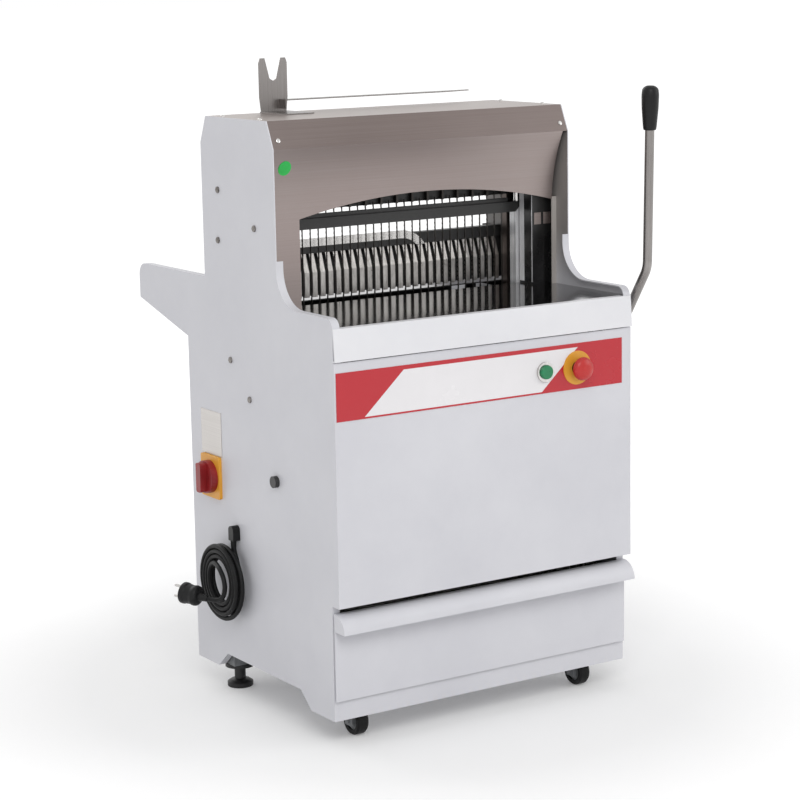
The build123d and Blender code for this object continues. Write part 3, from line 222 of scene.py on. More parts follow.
def brushed(name, low, high, rough, stretch, strength=0.06, metallic=1.0):
    """Bare metal: drawn streaks carry both the tone and the relief."""
    material, tree, shader, place = start_material(name)
    effect = add(tree, "ShaderNodeGroup", node_tree=grain_group)
    tree.links.new(place, effect.inputs["Vector"])
    effect.inputs["Stretch"].default_value = stretch
    blend = add(tree, "ShaderNodeMath", [(0, effect.outputs["Streak"]), (1, effect.outputs["Cloud"])],
                operation="ADD")
    half = add(tree, "ShaderNodeMath", [(0, blend.outputs[0]), (1, 0.5)], operation="MULTIPLY")
    tones(tree, shader, half.outputs[0], low, high, rough, (0.38, 0.62))
    relief(tree, shader, effect.outputs["Streak"], strength, 0.0004)
    shader.inputs["Metallic"].default_value = metallic
    return material


# %% The finishes of this machine
ALONG_X, ALONG_Y, ALONG_Z = (3.0, 900.0, 900.0), (900.0, 3.0, 900.0), (900.0, 900.0, 3.0)
white_enamel = coated("white_enamel", "#d0d0d6", "#dadadf", (0.34, 0.46))
nose_enamel = coated("nose_enamel", "#e2e2e6", "#ebebee", (0.30, 0.42))
hood_steel = brushed("hood_steel", "#9a908c", "#aaa19c", (0.30, 0.42), ALONG_X)
# The hood steel made darker for the hood's front slope: a painted dark reflection.
slope_painted_reflection = brushed("slope_painted_reflection", "#6f6562", "#7d7370", (0.34, 0.46), ALONG_X)
guard_steel = brushed("guard_steel", "#8f8380", "#9b918e", (0.36, 0.48), ALONG_X)
table_steel = brushed("table_steel", "#8d8c8d", "#a2a1a2", (0.06, 0.14), ALONG_Y, 0.02)
bright_steel = brushed("bright_steel", "#b9b7b5", "#d6d4d2", (0.14, 0.28), ALONG_Z)
blade_steel = brushed("blade_steel", "#2c2a29", "#4a4745", (0.26, 0.42), ALONG_Z)
comb_steel = brushed("comb_steel", "#8f8b88", "#d8d5d1", (0.22, 0.40), (120.0, 120.0, 30.0), 0.25)
bolt_zinc = brushed("bolt_zinc", "#6e6a67", "#8f8b88", (0.26, 0.4), (160.0, 160.0, 160.0), 0.1)
rod_steel = brushed("rod_steel", "#b5b3b1", "#cdcbc9", (0.16, 0.26), ALONG_Y)
lever_steel = brushed("lever_steel", "#7d7977", "#979391", (0.24, 0.38), ALONG_Z)
frame_steel = coated("frame_steel", "#232323", "#302f2f", (0.34, 0.5), 500.0, 0.12, 9.0)
beam_paint = coated("beam_paint", "#3a3b3c", "#484a4b", (0.42, 0.58), 500.0, 0.15, 9.0)
casting = coated("casting", "#3c3e40", "#4b4d4f", (0.5, 0.68), 260.0, 0.5, 12.0)
foot_paint = coated("foot_paint", "#0d0d0e", "#171718", (0.4, 0.6), 300.0, 0.3, 14.0)
black_moulding = coated("black_moulding", "#0a0a0b", "#131314", (0.34, 0.5), 700.0, 0.18, 12.0, shine=0.28)
housing_black = coated("housing_black", "#0d0d0e", "#191919", (0.22, 0.36), 400.0, 0.1, 8.0)
rubber_black = coated("rubber_black", "#0b0b0c", "#141415", (0.42, 0.6), 500.0, 0.3, 15.0, shine=0.22)
hub_grey = coated("hub_grey", "#6f7173", "#838587", (0.4, 0.55), 500.0, 0.2, 20.0)
stop_red = coated("stop_red", "#b3201f", "#c92c28", (0.28, 0.4), 700.0, 0.05, 20.0)
isolator_red = coated("isolator_red", "#7d1418", "#971d20", (0.3, 0.44), 600.0, 0.1, 24.0)
signal_yellow = coated("signal_yellow", "#dd9a2c", "#eaac3c", (0.32, 0.46), 700.0, 0.05, 18.0)
start_green = coated("start_green", "#0c6b3f", "#188555", (0.22, 0.34), 700.0, 0.05, 24.0)
sticker_green = coated("sticker_green", "#23b14b", "#31c159", (0.4, 0.5), 700.0, 0.03, 40.0)
plate_satin = brushed("plate_satin", "#b4b0ad", "#cbc8c5", (0.36, 0.5), ALONG_Y, 0.03)
# A paler satin for one guard leg: painted light.
leg_painted_light = brushed("leg_painted_light", "#b2aca7", "#c4bfba", (0.3, 0.42), ALONG_Z, metallic=0.2)
upright_bright = brushed("upright_bright", "#c9c9cc", "#e6e6e8", (0.16, 0.3), ALONG_Z, metallic=0.3)
upright_dull = brushed("upright_dull", "#4d4643", "#625a56", (0.3, 0.44), ALONG_Z)
slide_nylon = coated("slide_nylon", "#dfdfe1", "#ebebec", (0.3, 0.42), 600.0, 0.06, 20.0)
# A dark grey for the inside of the rear cover: painted shade.
inside_painted_shade = coated("inside_painted_shade", "#2b2b2c", "#3a3a3b", (0.45, 0.6), 420.0, 0.1, 9.0, metallic=0.4)

SLOT_FINISH = {
    "grey_paint": white_enamel, "white_paint": nose_enamel, "polished_steel": table_steel,
    "brushed_steel": hood_steel, "bright_steel": bright_steel, "dark_steel": beam_paint,
    "cast_iron": casting, "black_rubber": rubber_black, "black_plastic": black_moulding,
    "yellow_plastic": signal_yellow, "red_plastic": isolator_red, "green_plastic": start_green,
    "label_film": nose_enamel, "plate_aluminium": plate_satin, "bezel_chrome": bright_steel,
    "blade_steel": blade_steel,
}
NODE_FINISH = {
    "front_guard": guard_steel, "guard_legs": guard_steel, "bag_arm": lever_steel,
    "front_blade_frame": frame_steel, "rear_blade_frame": frame_steel, "pusher_plate": frame_steel,
    "pusher_comb": comb_steel, "guide_housings": housing_black, "feed_lever": lever_steel,
    "slide_rods": rod_steel, "levelling_feet": foot_paint, "mounting_brackets": hub_grey,
    "pusher_carriage": comb_steel, "bag_fork": lever_steel, "lever_shaft": frame_steel,
}
for part in frame["record"]["subparts"]:
    obj = nodes[part["node"]]
    finish = NODE_FINISH.get(part["node"], SLOT_FINISH[part["material_slot"]])
    obj.data.materials.clear()
    obj.data.materials.append(finish)
print("finished", len(nodes), "CAD nodes with", len(bpy.data.materials), "materials")

# %% [markdown]
# Some sheets and bars have two finishes. The front frame's upright bars are bright and the rear
# frame's are dull, and the bar of the comb is dark. The rest are painted light and shade: one guard
# leg is painted paler as painted light, the front edge of the rear table and the inside of the rear
# cover are painted dark as painted shade, and the hood's front slope is painted darker than its top
# as a painted dark reflection. The faces are told apart by where they lie.


# %% Second finishes
def second_finish(node, finish, chosen):
    """Give a second finish to the faces for which chosen(face, corners) is true."""
    mesh = nodes[node].data
    mesh.materials.append(finish)
    for face in mesh.polygons:
        corners = [mesh.vertices[i].co for i in face.vertices]
        if chosen(face, corners):
            face.material_index = 1


UPRIGHT_X = 0.2455
COMB_BAR_Z = 0.7775


def on_upright(face, corners):
    """Whether a face lies on one of a frame's two upright bars."""
    return min(c.x for c in corners) > UPRIGHT_X or max(c.x for c in corners) < -UPRIGHT_X


second_finish("front_blade_frame", upright_bright, on_upright)
second_finish("rear_blade_frame", upright_dull, on_upright)
# The inside of the rear cover is painted dark grey as painted shade.
second_finish("rear_cover", inside_painted_shade, lambda face, corners: face.normal.y < -0.5)
# The front edge of the rear table is painted dark as painted shade.
second_finish("rear_table", frame_steel, lambda face, corners: face.normal.y < -0.5)
# One guard leg is painted paler than the other as painted light.
second_finish("guard_legs", leg_painted_light, lambda face, corners: min(c.x for c in corners) > 0)
second_finish("pusher_comb", frame_steel, lambda face, corners: min(c.z for c in corners) > COMB_BAR_Z)
# The hood's front slope gets the darker hood steel: a painted dark reflection.
second_finish("top_hood", slope_painted_reflection, lambda face, corners: face.normal.y < -0.5 and face.normal.z > 0.05)

# %% [markdown]
# The inner face of the right panel is seen beside the guard. In the picture it darkens upwards under
# the hood, more than these lights make it do. So part of that darkening is painted on: a height read
# from Object coordinates mixes a light and a dark grey, and it looks the same from every side.

# %% Inner face of the right panel
shaded_liner, tree, shader, place = start_material("shaded_liner")
liner_height = add(tree, "ShaderNodeSeparateXYZ", [(0, place)]).outputs[2]
LINER_LIGHT_Z, LINER_DARK_Z = 0.71, 0.80
effect = add(tree, "ShaderNodeGroup", [("Vector", place)], node_tree=coat_group)
rise = add(tree, "ShaderNodeMapRange", [("Value", liner_height), ("From Min", LINER_LIGHT_Z),
           ("From Max", LINER_DARK_Z)])
tones(tree, shader, rise.outputs[0], "#c3c3c7", "#8c8784", (0.3, 0.36), (0.0, 1.0))
relief(tree, shader, effect.outputs["Peel"], 0.05, 0.0006)
second_finish("right_side_panel", shaded_liner, lambda face, corners: face.normal.x < -0.5)
print("second finishes on", sum(len(o.data.materials) > 1 for o in nodes.values()), "nodes")

# %% [markdown]
# ## Front label
# The strip under the table is printed film: a white field, thin red lines along both edges and a
# slanted red block at either end. The print is drawn by comparing Object coordinates, so it needs no
# picture. The round sticker on the guard is part of the same node and gets a green film.


# %% Label film
def compare(tree, value, limit, soft=0.0004):
    """0 below the limit and 1 above it, with a narrow soft edge."""
    ends = [("From Min", limit - soft), ("From Max", limit + soft)]
    return add(tree, "ShaderNodeMapRange", [("Value", value), *ends]).outputs[0]


def combine(tree, a, b, operation):
    """One step of arithmetic on two values."""
    return add(tree, "ShaderNodeMath", [(0, a), (1, b)], operation=operation).outputs[0]


STRIP_LOW, STRIP_HIGH, STRIP_LEFT, STRIP_RIGHT = 0.549, 0.628, -0.298, 0.279
SLANT = 1.1
LEFT_BLOCK_END, RIGHT_BLOCK_START = -0.205, 0.148
TOP_LINE, LOW_LINE = 0.007, 0.003
STICKER_ABOVE_Z = 0.8
label_film, tree, shader, place = start_material("label_film")
parts = add(tree, "ShaderNodeSeparateXYZ", [(0, place)])
x_axis, z_axis = parts.outputs[0], parts.outputs[2]
slant = combine(tree, x_axis, combine(tree, z_axis, SLANT, "MULTIPLY"), "SUBTRACT")
slant_middle = -SLANT * (STRIP_LOW + STRIP_HIGH) / 2
right_block = compare(tree, slant, RIGHT_BLOCK_START + slant_middle)
left_block = combine(tree, 1.0, compare(tree, slant, LEFT_BLOCK_END + slant_middle), "SUBTRACT")
top_line = compare(tree, z_axis, STRIP_HIGH - TOP_LINE)
low_line = combine(tree, 1.0, compare(tree, z_axis, STRIP_LOW + LOW_LINE), "SUBTRACT")
red = combine(tree, combine(tree, right_block, left_block, "MAXIMUM"),
              combine(tree, top_line, low_line, "MAXIMUM"), "MAXIMUM")
effect = add(tree, "ShaderNodeGroup", [("Vector", place)], node_tree=coat_group)
film_mix = tones(tree, shader, effect.outputs["Patch"], "#e6e4e6", "#eeecee", (0.2, 0.3))
ink = add(tree, "ShaderNodeMix", [(0, red), (6, film_mix.outputs[2])], data_type="RGBA")
ink.inputs[7].default_value = linear("#bd1f2c")
tree.links.new(ink.outputs[2], shader.inputs["Base Color"])
nodes["labels"].data.materials.clear()
nodes["labels"].data.materials.append(label_film)
nodes["labels"].data.materials.append(sticker_green)
for face in nodes["labels"].data.polygons:
    face.material_index = 1 if face.center.z > STICKER_ABOVE_Z else 0
print("label strip", round(STRIP_RIGHT - STRIP_LEFT, 3), "m wide")

# %% [markdown]
# ## Round pieces
# Grips, wheels and mushroom heads were turned or moulded. A lathe helper turns a profile about an
# axis: it makes one closed skin with a single vertex at each pole, and smooth shading except where
# the profile itself makes a hard corner.


# %% Lathe helper
def rounded(profile, radius, steps=4):
    """A profile with each inner corner replaced by a short arc."""
    points = [profile[0]]
    for a, b, c in zip(profile[:-2], profile[1:-1], profile[2:]):
        a, b, c = Vector(a), Vector(b), Vector(c)
        cut = min(radius, (b - a).length * 0.45, (c - b).length * 0.45)
        first, last = b + (a - b).normalized() * cut, b + (c - b).normalized() * cut
        for i in range(steps + 1):
            t = i / steps
            points.append(tuple(first * (1 - t) ** 2 + b * 2 * t * (1 - t) + last * t * t))
    points.append(profile[-1])
    return points


def finish_piece(name, mesh, material, body, replaces=(), smooth=30):
    """Link a mesh as a piece of the machine: shading, material, body, slot and what it stands for."""
    obj = bpy.data.objects.new(name, mesh)
    bpy.context.scene.collection.objects.link(obj)
    mesh.materials.clear()
    mesh.materials.append(material)
    mesh.shade_smooth()
    mesh.set_sharp_from_angle(angle=math.radians(smooth))
    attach(obj, body)
    if replaces:
        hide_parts(*replaces)
    return obj


def lathe(profile, base, axis, sides=48):
    """Turn (radius, height) points about an axis that starts at base."""
    rings, mesh = [], bmesh.new()
    turn = Vector(axis).normalized().to_track_quat("Z", "X").to_matrix().to_4x4()
    move = Matrix.Translation(base) @ turn
    for radius, height in profile:
        if radius < 1e-6:
            rings.append([mesh.verts.new(move @ Vector((0, 0, height)))])
            continue
        ring = []
        for i in range(sides):
            a = 2 * math.pi * i / sides
            ring.append(mesh.verts.new(move @ Vector((radius * math.cos(a), radius * math.sin(a), height))))
        rings.append(ring)
    for low, high in zip(rings[:-1], rings[1:]):
        for i in range(sides):
            j = (i + 1) % sides
            corners = [low[i % len(low)], low[j % len(low)], high[j % len(high)], high[i % len(high)]]
            unique = [v for k, v in enumerate(corners) if v not in corners[:k]]
            if len(unique) > 2:
                mesh.faces.new(unique)
    bmesh.ops.recalc_face_normals(mesh, faces=mesh.faces)
    data = bpy.data.meshes.new("turned")
    mesh.to_mesh(data)
    mesh.free()
    return data


# %% [markdown]
# ### Grip
# The lever ends in a moulded grip, narrow where it starts and fuller towards its domed end. It is
# one turned profile that leans with the upper part of the lever.

# %% Lever grip
grip_low, grip_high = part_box("lever_knob")
lever_top = Vector(((grip_low[0] + grip_high[0]) / 2, (grip_low[1] + grip_high[1]) / 2, grip_low[2]))
GRIP_LEAN = Vector((0.0, -0.0237, 0.9997))
GRIP_R = 0.015
grip_tall = (grip_high[2] - grip_low[2]) * 0.99
grip_profile = [(0, 0.0005), (GRIP_R * 0.72, 0.0005), (GRIP_R * 0.78, 0.006),
                (GRIP_R * 0.96, grip_tall * 0.5), (GRIP_R, grip_tall * 0.8),
                (GRIP_R * 0.9, grip_tall * 0.94), (GRIP_R * 0.45, grip_tall), (0, grip_tall)]
grip_base = Vector((lever_top.x, lever_top.y + 0.0009, lever_top.z))
finish_piece("lever_grip", lathe(rounded(grip_profile, 0.006, 5), grip_base, GRIP_LEAN), black_moulding,
             "lever", ["lever_knob"])
print("grip", round(grip_tall * 1000), "mm tall")

# %% [markdown]
# ### Emergency stop
# The mushroom head is turned too: a straight rim that fingers can pull and a shallow domed face.

# %% Emergency stop head
stop_low, stop_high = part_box("estop_button")
stop_middle = Vector(((stop_low[0] + stop_high[0]) / 2, stop_high[1], (stop_low[2] + stop_high[2]) / 2))
STOP_R = 0.02
stop_profile = [(0, 0), (STOP_R * 0.86, 0), (STOP_R, 0.0015), (STOP_R, 0.0058), (STOP_R * 0.87, 0.0105),
                (STOP_R * 0.5, 0.0142), (0, 0.015)]
finish_piece("stop_mushroom", lathe(rounded(stop_profile, 0.004, 5), stop_middle, (0, -1, 0)), stop_red,
             "estop_head", ["estop_button"])
print("stop head", round(2000 * STOP_R), "mm across")

# %% [markdown]
# ### Front wheels
# Each wheel is a rubber tread on a grey moulded hub with a recess on both sides. The two profiles
# close on themselves, so each makes a ring.

# %% Treads and hubs
for side in ("left", "right"):
    low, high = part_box(side + "_wheel")
    middle = (Vector(low) + Vector(high)) / 2
    wide = high[0] - low[0]
    base = Vector((low[0], middle.y, middle.z))
    tread = [(0.0165, 0.001), (0.0225, 0.0), (0.025, 0.0035), (0.025, wide - 0.0035), (0.0225, wide),
             (0.0165, wide - 0.001), (0.0165, 0.001)]
    hub = [(0.0041, 0.001), (0.0085, 0.0005), (0.0095, 0.004), (0.0165, 0.0045), (0.0165, wide - 0.0045),
           (0.0095, wide - 0.004), (0.0085, wide - 0.0005), (0.0041, wide - 0.001), (0.0041, 0.001)]
    body = "wheel_l" if side == "left" else "wheel_r"
    finish_piece(side + "_tyre", lathe(tread, base, (1, 0, 0)), rubber_black, body,
                 [side + "_wheel"])
    finish_piece(side + "_hub", lathe(hub, base, (1, 0, 0)), hub_grey, body, [side + "_wheel"])
print("wheels", round(wide * 1000), "mm wide")

# %% [markdown]
# ## Bolt heads
# The panels are held by rows of equal pan heads. That is what Geometry Nodes are for: one tree takes
# loose points, puts a small domed head on each and turns it to face out. The tree has named inputs
# for the head's sizes, and its result is turned into a plain mesh, because the export drops instances.


# %% Geometry Nodes: heads on points
def heads_tree():
    """On each point: a skirt, a crown and a small hexagon socket."""
    tree = bpy.data.node_groups.new("heads_on_points", "GeometryNodeTree")
    face = tree.interface
    face.new_socket("Geometry", in_out="INPUT", socket_type="NodeSocketGeometry")
    for label, kind, value in (("Radius", "NodeSocketFloat", 0.0055), ("Height", "NodeSocketFloat", 0.004),
                               ("Turn", "NodeSocketVector", (0.0, 0.0, 0.0))):
        face.new_socket(label, in_out="INPUT", socket_type=kind).default_value = value
    face.new_socket("Finish", in_out="INPUT", socket_type="NodeSocketMaterial")
    face.new_socket("Geometry", in_out="OUTPUT", socket_type="NodeSocketGeometry")
    source, sink = tree.nodes.new("NodeGroupInput"), tree.nodes.new("NodeGroupOutput")

    def scaled(label, factor):
        return add(tree, "ShaderNodeMath", [(0, source.outputs[label]), (1, factor)],
                   operation="MULTIPLY").outputs[0]

    skirt = add(tree, "GeometryNodeMeshCone", [("Vertices", 24), ("Side Segments", 1),
                ("Radius Bottom", source.outputs["Radius"]), ("Radius Top", scaled("Radius", 0.96)),
                ("Depth", scaled("Height", 0.55))])
    crown = add(tree, "GeometryNodeMeshCone", [("Vertices", 24), ("Side Segments", 1),
                ("Radius Bottom", scaled("Radius", 0.96)), ("Radius Top", scaled("Radius", 0.55)),
                ("Depth", scaled("Height", 0.35))])
    socket = add(tree, "GeometryNodeMeshCone", [("Vertices", 6), ("Side Segments", 1),
                 ("Radius Bottom", scaled("Radius", 0.5)), ("Radius Top", scaled("Radius", 0.46)),
                 ("Depth", scaled("Height", 0.1))])
    lift_crown = add(tree, "ShaderNodeCombineXYZ", [("Z", scaled("Height", 0.55))])
    lift_socket = add(tree, "ShaderNodeCombineXYZ", [("Z", scaled("Height", 0.9))])
    crown_up = add(tree, "GeometryNodeTransform", [("Geometry", crown.outputs["Mesh"]),
                   ("Translation", lift_crown.outputs[0])])
    socket_up = add(tree, "GeometryNodeTransform", [("Geometry", socket.outputs["Mesh"]),
                    ("Translation", lift_socket.outputs[0])])
    join = tree.nodes.new("GeometryNodeJoinGeometry")
    for piece in (skirt.outputs["Mesh"], crown_up.outputs[0], socket_up.outputs[0]):
        tree.links.new(piece, join.inputs[0])
    points = add(tree, "GeometryNodeMeshToPoints", [("Mesh", source.outputs["Geometry"])])
    place = add(tree, "GeometryNodeInstanceOnPoints", [("Points", points.outputs[0]),
                ("Instance", join.outputs[0]), ("Rotation", source.outputs["Turn"])])
    real = add(tree, "GeometryNodeRealizeInstances", [("Geometry", place.outputs[0])])
    paint = add(tree, "GeometryNodeSetMaterial", [("Geometry", real.outputs[0]),
                ("Material", source.outputs["Finish"])])
    tree.links.new(paint.outputs[0], sink.inputs[0])
    return tree


def run_tree(name, tree, points, values):
    """A plain mesh of what a tree makes from loose points."""
    seed = bpy.data.meshes.new(name + "_points")
    seed.from_pydata([tuple(p) for p in points], [], [])
    carrier = bpy.data.objects.new(name + "_points", seed)
    bpy.context.scene.collection.objects.link(carrier)
    modifier = carrier.modifiers.new("on_points", "NODES")
    modifier.node_group = tree
    sockets = {item.name: item.identifier for item in tree.interface.items_tree if item.in_out == "INPUT"}
    for label, value in values.items():
        modifier[sockets[label]] = value
    graph = bpy.context.evaluated_depsgraph_get()
    mesh = bpy.data.meshes.new_from_object(carrier.evaluated_get(graph))
    bpy.data.objects.remove(carrier)
    return mesh


heads = heads_tree()
SHIFT_X, SHIFT_Y = 0.001, 0.29172
BOLTS_YZ = [(0.343, 0.895), (0.347, 0.809), (0.221, 0.839), (0.316, 0.606), (0.253, 0.546)]
LEFT_FACE, RIGHT_FACE = -0.301, 0.299
HOOD_TOP_Z, SLOPE_RISE, SLOPE_RUN = 1.018, 0.0454, 0.020
for name, face_x, turn_y in (("left", LEFT_FACE, -math.pi / 2), ("right", RIGHT_FACE, math.pi / 2)):
    spots = [(face_x, y - SHIFT_Y, z) for y, z in BOLTS_YZ]
    mesh = run_tree("bolts_" + name, heads, spots, {"Radius": 0.0056, "Height": 0.004,
                    "Turn": (0.0, turn_y, 0.0), "Finish": bolt_zinc})
    finish_piece("bolts_" + name, mesh, bolt_zinc, "root", ["panel_bolts"], 40)
top_spots = [(x, y - SHIFT_Y, HOOD_TOP_Z) for x in (-0.289, 0.287) for y in (0.213, 0.34)]
mesh = run_tree("hood_rivets", heads, top_spots, {"Radius": 0.004, "Height": 0.003,
                "Turn": (0.0, 0.0, 0.0), "Finish": bright_steel})
finish_piece("hood_rivets", mesh, bright_steel, "root", ["panel_bolts"], 40)
slope_turn = math.atan2(SLOPE_RISE, SLOPE_RUN)
slope_spots = [(x, 0.159 - SHIFT_Y, HOOD_TOP_Z - 0.7 * SLOPE_RISE) for x in (-0.287, 0.285)]
mesh = run_tree("slope_rivets", heads, slope_spots, {"Radius": 0.004, "Height": 0.002,
                "Turn": (slope_turn, 0.0, 0.0), "Finish": bright_steel})
finish_piece("slope_rivets", mesh, bright_steel, "root", ["panel_bolts"], 40)
print("heads on", len(BOLTS_YZ) * 2 + 6, "points")

# %% [markdown]
# ## Blades
# Thirty blades stand 16 mm apart in one plane, every second one in the front frame and the others in
# the rear frame. A second tree makes a whole set from a few sizes: on each point a thin strip whose
# cutting edge is drawn in by scallops, and a ferrule at each end that holds it to the frame's bars.


# %% Geometry Nodes: a set of scalloped blades
def blade_set_tree():
    """On each point: a strip with a scalloped edge and its two ferrules."""
    tree = bpy.data.node_groups.new("blade_set", "GeometryNodeTree")
    face = tree.interface
    face.new_socket("Geometry", in_out="INPUT", socket_type="NodeSocketGeometry")
    for label, kind, value in (("Blade", "NodeSocketVector", (0.0008, 0.0045, 0.25)),
                               ("Scallop pitch", "NodeSocketFloat", 0.008),
                               ("Scallop depth", "NodeSocketFloat", 0.0012),
                               ("Ferrule", "NodeSocketVector", (0.004, 0.008, 0.018)),
                               ("Low ferrule", "NodeSocketVector", (0.0, 0.0, -0.1)),
                               ("High ferrule", "NodeSocketVector", (0.0, 0.0, 0.1))):
        face.new_socket(label, in_out="INPUT", socket_type=kind).default_value = value
    face.new_socket("Finish", in_out="INPUT", socket_type="NodeSocketMaterial")
    face.new_socket("Geometry", in_out="OUTPUT", socket_type="NodeSocketGeometry")
    source, sink = tree.nodes.new("NodeGroupInput"), tree.nodes.new("NodeGroupOutput")

    def maths(operation, a, b=0.0):
        return add(tree, "ShaderNodeMath", [(0, a), (1, b)], operation=operation).outputs[0]

    strip = add(tree, "GeometryNodeMeshCube", [("Size", source.outputs["Blade"]), ("Vertices X", 2),
                ("Vertices Y", 2), ("Vertices Z", 161)])
    spot = add(tree, "ShaderNodeSeparateXYZ", [(0, tree.nodes.new("GeometryNodeInputPosition").outputs[0])])
    phase = maths("DIVIDE", maths("MULTIPLY", spot.outputs[2], math.pi), source.outputs["Scallop pitch"])
    bite = maths("MULTIPLY", maths("ABSOLUTE", maths("SINE", phase)), source.outputs["Scallop depth"])
    cutting = maths("MULTIPLY", bite, maths("GREATER_THAN", spot.outputs[1], 0.0))
    drawn_in = add(tree, "ShaderNodeCombineXYZ", [("Y", maths("MULTIPLY", cutting, -1.0))])
    edge = add(tree, "GeometryNodeSetPosition", [("Geometry", strip.outputs["Mesh"]),
               ("Offset", drawn_in.outputs[0])])
    join = tree.nodes.new("GeometryNodeJoinGeometry")
    tree.links.new(edge.outputs[0], join.inputs[0])
    for label in ("Low ferrule", "High ferrule"):
        block = add(tree, "GeometryNodeMeshCube", [("Size", source.outputs["Ferrule"])])
        moved = add(tree, "GeometryNodeTransform", [("Geometry", block.outputs["Mesh"]),
                    ("Translation", source.outputs[label])])
        tree.links.new(moved.outputs[0], join.inputs[0])
    points = add(tree, "GeometryNodeMeshToPoints", [("Mesh", source.outputs["Geometry"])])
    place = add(tree, "GeometryNodeInstanceOnPoints", [("Points", points.outputs[0]),
                ("Instance", join.outputs[0])])
    real = add(tree, "GeometryNodeRealizeInstances", [("Geometry", place.outputs[0])])
    paint = add(tree, "GeometryNodeSetMaterial", [("Geometry", real.outputs[0]),
                ("Material", source.outputs["Finish"])])
    tree.links.new(paint.outputs[0], sink.inputs[0])
    return tree


# %% Plate with broken edges
def plate(corner_low, corner_high, edge=0.0003):
    """A plate with bevelled edges between two corners."""
    shape = bmesh.new()
    bmesh.ops.create_cube(shape, size=1.0)
    corner_low, corner_high = Vector(corner_low), Vector(corner_high)
    bmesh.ops.scale(shape, vec=corner_high - corner_low, verts=shape.verts)
    bmesh.ops.bevel(shape, geom=list(shape.edges), offset=edge, segments=2, affect="EDGES")
    bmesh.ops.translate(shape, vec=(corner_low + corner_high) / 2, verts=shape.verts)
    data = bpy.data.meshes.new("plate")
    shape.to_mesh(data)
    shape.free()
    return data


# %% Both sets and their clamp strips
blade_tree = blade_set_tree()
PITCH, BLADES = 0.016, 30
BLADE_T, BLADE_DEEP = 0.0008, 0.0045
BLADE_PLANE_Y = 0.263 - SHIFT_Y
FRONT_FRAME_Y, REAR_FRAME_Y = 0.249 - SHIFT_Y, 0.277 - SHIFT_Y
FRAME_TALL, BAR = 0.235, 0.018
FERRULE_WIDE, FERRULE_HALF = 0.004, 0.003
CLAMP_HALF_X, CLAMP_HALF_Y, CLAMP_TALL, CLAMP_EDGE = 0.235, 0.004, 0.007, 0.0008
for start, side, frame_y, way in ((0, "front", FRONT_FRAME_Y, 1), (1, "rear", REAR_FRAME_Y, -1)):
    low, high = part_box(side + "_blades")
    middle_z = (low[2] + high[2]) / 2
    bar_face = frame_y + way * BAR / 2
    reach = BLADE_PLANE_Y + way * FERRULE_HALF
    ferrule_y = (bar_face + reach) / 2 - BLADE_PLANE_Y
    spots = [((i - (BLADES - 1) / 2) * PITCH - SHIFT_X, BLADE_PLANE_Y, middle_z)
             for i in range(start, BLADES, 2)]
    mesh = run_tree(side + "_blade_set", blade_tree, spots, {
        "Blade": (BLADE_T, BLADE_DEEP, high[2] - low[2]), "Finish": blade_steel,
        "Ferrule": (FERRULE_WIDE, abs(reach - bar_face), BAR),
        "Low ferrule": (0.0, ferrule_y, low[2] + BAR / 2 - middle_z),
        "High ferrule": (0.0, ferrule_y, low[2] + FRAME_TALL - BAR / 2 - middle_z)})
    finish_piece(side + "_blade_set", mesh, blade_steel, side + "_frame",
                 [side + "_blades"], 40)
    top_z = low[2] + FRAME_TALL
    clamp = plate((-SHIFT_X - CLAMP_HALF_X, frame_y - CLAMP_HALF_Y, top_z),
                  (-SHIFT_X + CLAMP_HALF_X, frame_y + CLAMP_HALF_Y, top_z + CLAMP_TALL), CLAMP_EDGE)
    finish_piece(side + "_clamp_strip", clamp, frame_steel, side + "_frame",
                 [side + "_blades"])
print("blades", BLADES, "at", PITCH * 1000, "mm")

# %% [markdown]
# ## Slide strips
# Each housing guides its frames along a pale nylon strip and has a clip band across its face. A
# thin bright strip down its front corner is a painted highlight. They are thin plates with broken
# edges, made from the housing's own box.

# %% Plates on the housings
housing_low, housing_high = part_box("guide_housings")
HOUSING_X = 0.254
STRIP_T = 0.0007
SLIDE_WIDE, HIGHLIGHT_WIDE = 0.013, 0.0022
END_GAP, BACK_GAP = 0.004, 0.0005
BAND_Z, BAND_X = (0.806, 0.827), ((0.004, 0.019), (0.024, 0.040))
z_low, z_high = housing_low[2] + END_GAP, housing_high[2] - END_GAP
back_y, front_y = housing_high[1] - BACK_GAP, housing_low[1]
for side, way_x in (("left", -1), ("right", 1)):
    face_x = HOUSING_X * way_x - SHIFT_X
    thin = sorted((face_x, face_x - way_x * STRIP_T))
    slide = plate((thin[0], back_y - SLIDE_WIDE, z_low), (thin[1], back_y, z_high))
    finish_piece(side + "_slide_strip", slide, slide_nylon, "root")
    # The bright strip down the housing's front corner is a painted highlight.
    edge_highlight = plate((thin[0], front_y, z_low), (thin[1], front_y + HIGHLIGHT_WIDE, z_high))
    finish_piece(side + "_painted_edge_highlight", edge_highlight, upright_bright, "root")
    for number, (near, far) in enumerate(BAND_X):
        wide = sorted((face_x + way_x * near, face_x + way_x * far))
        band = plate((wide[0], front_y - STRIP_T, BAND_Z[0]), (wide[1], front_y, BAND_Z[1]))
        finish_piece(f"{side}_clip_band_{number + 1}", band, guard_steel, "root")
print("housing strips", round((z_high - z_low) * 1000), "mm tall")

# %% [markdown]
# ## Mains cord
# The cord leaves the hooded outlet, runs down behind its own bundle, makes three loops out and nearly
# four back in, drops across the front of the ring and ends in its plug. It is one NURBS line: the
# lead's few points, sixteen points for each loop, and the tail's points. The loops follow the same
# rule as the CAD coil.

# %% Route of the cord, in metres
CORD_R = 0.0042
LOOP_PITCH = 2 * CORD_R + 0.0006
COIL_MIDDLE = (0.330 - SHIFT_Y, 0.217)
COIL_X = -0.319 - SHIFT_X
COIL_R0 = 0.038
LOOPS = 3
BACK_AT_R0 = 2 * LOOPS + 0.5
COIL_END = BACK_AT_R0 + 0.25
TUCK, RISE, SWELL = 0.003, 0.0065, 0.0026
POINTS_A_LOOP = 16


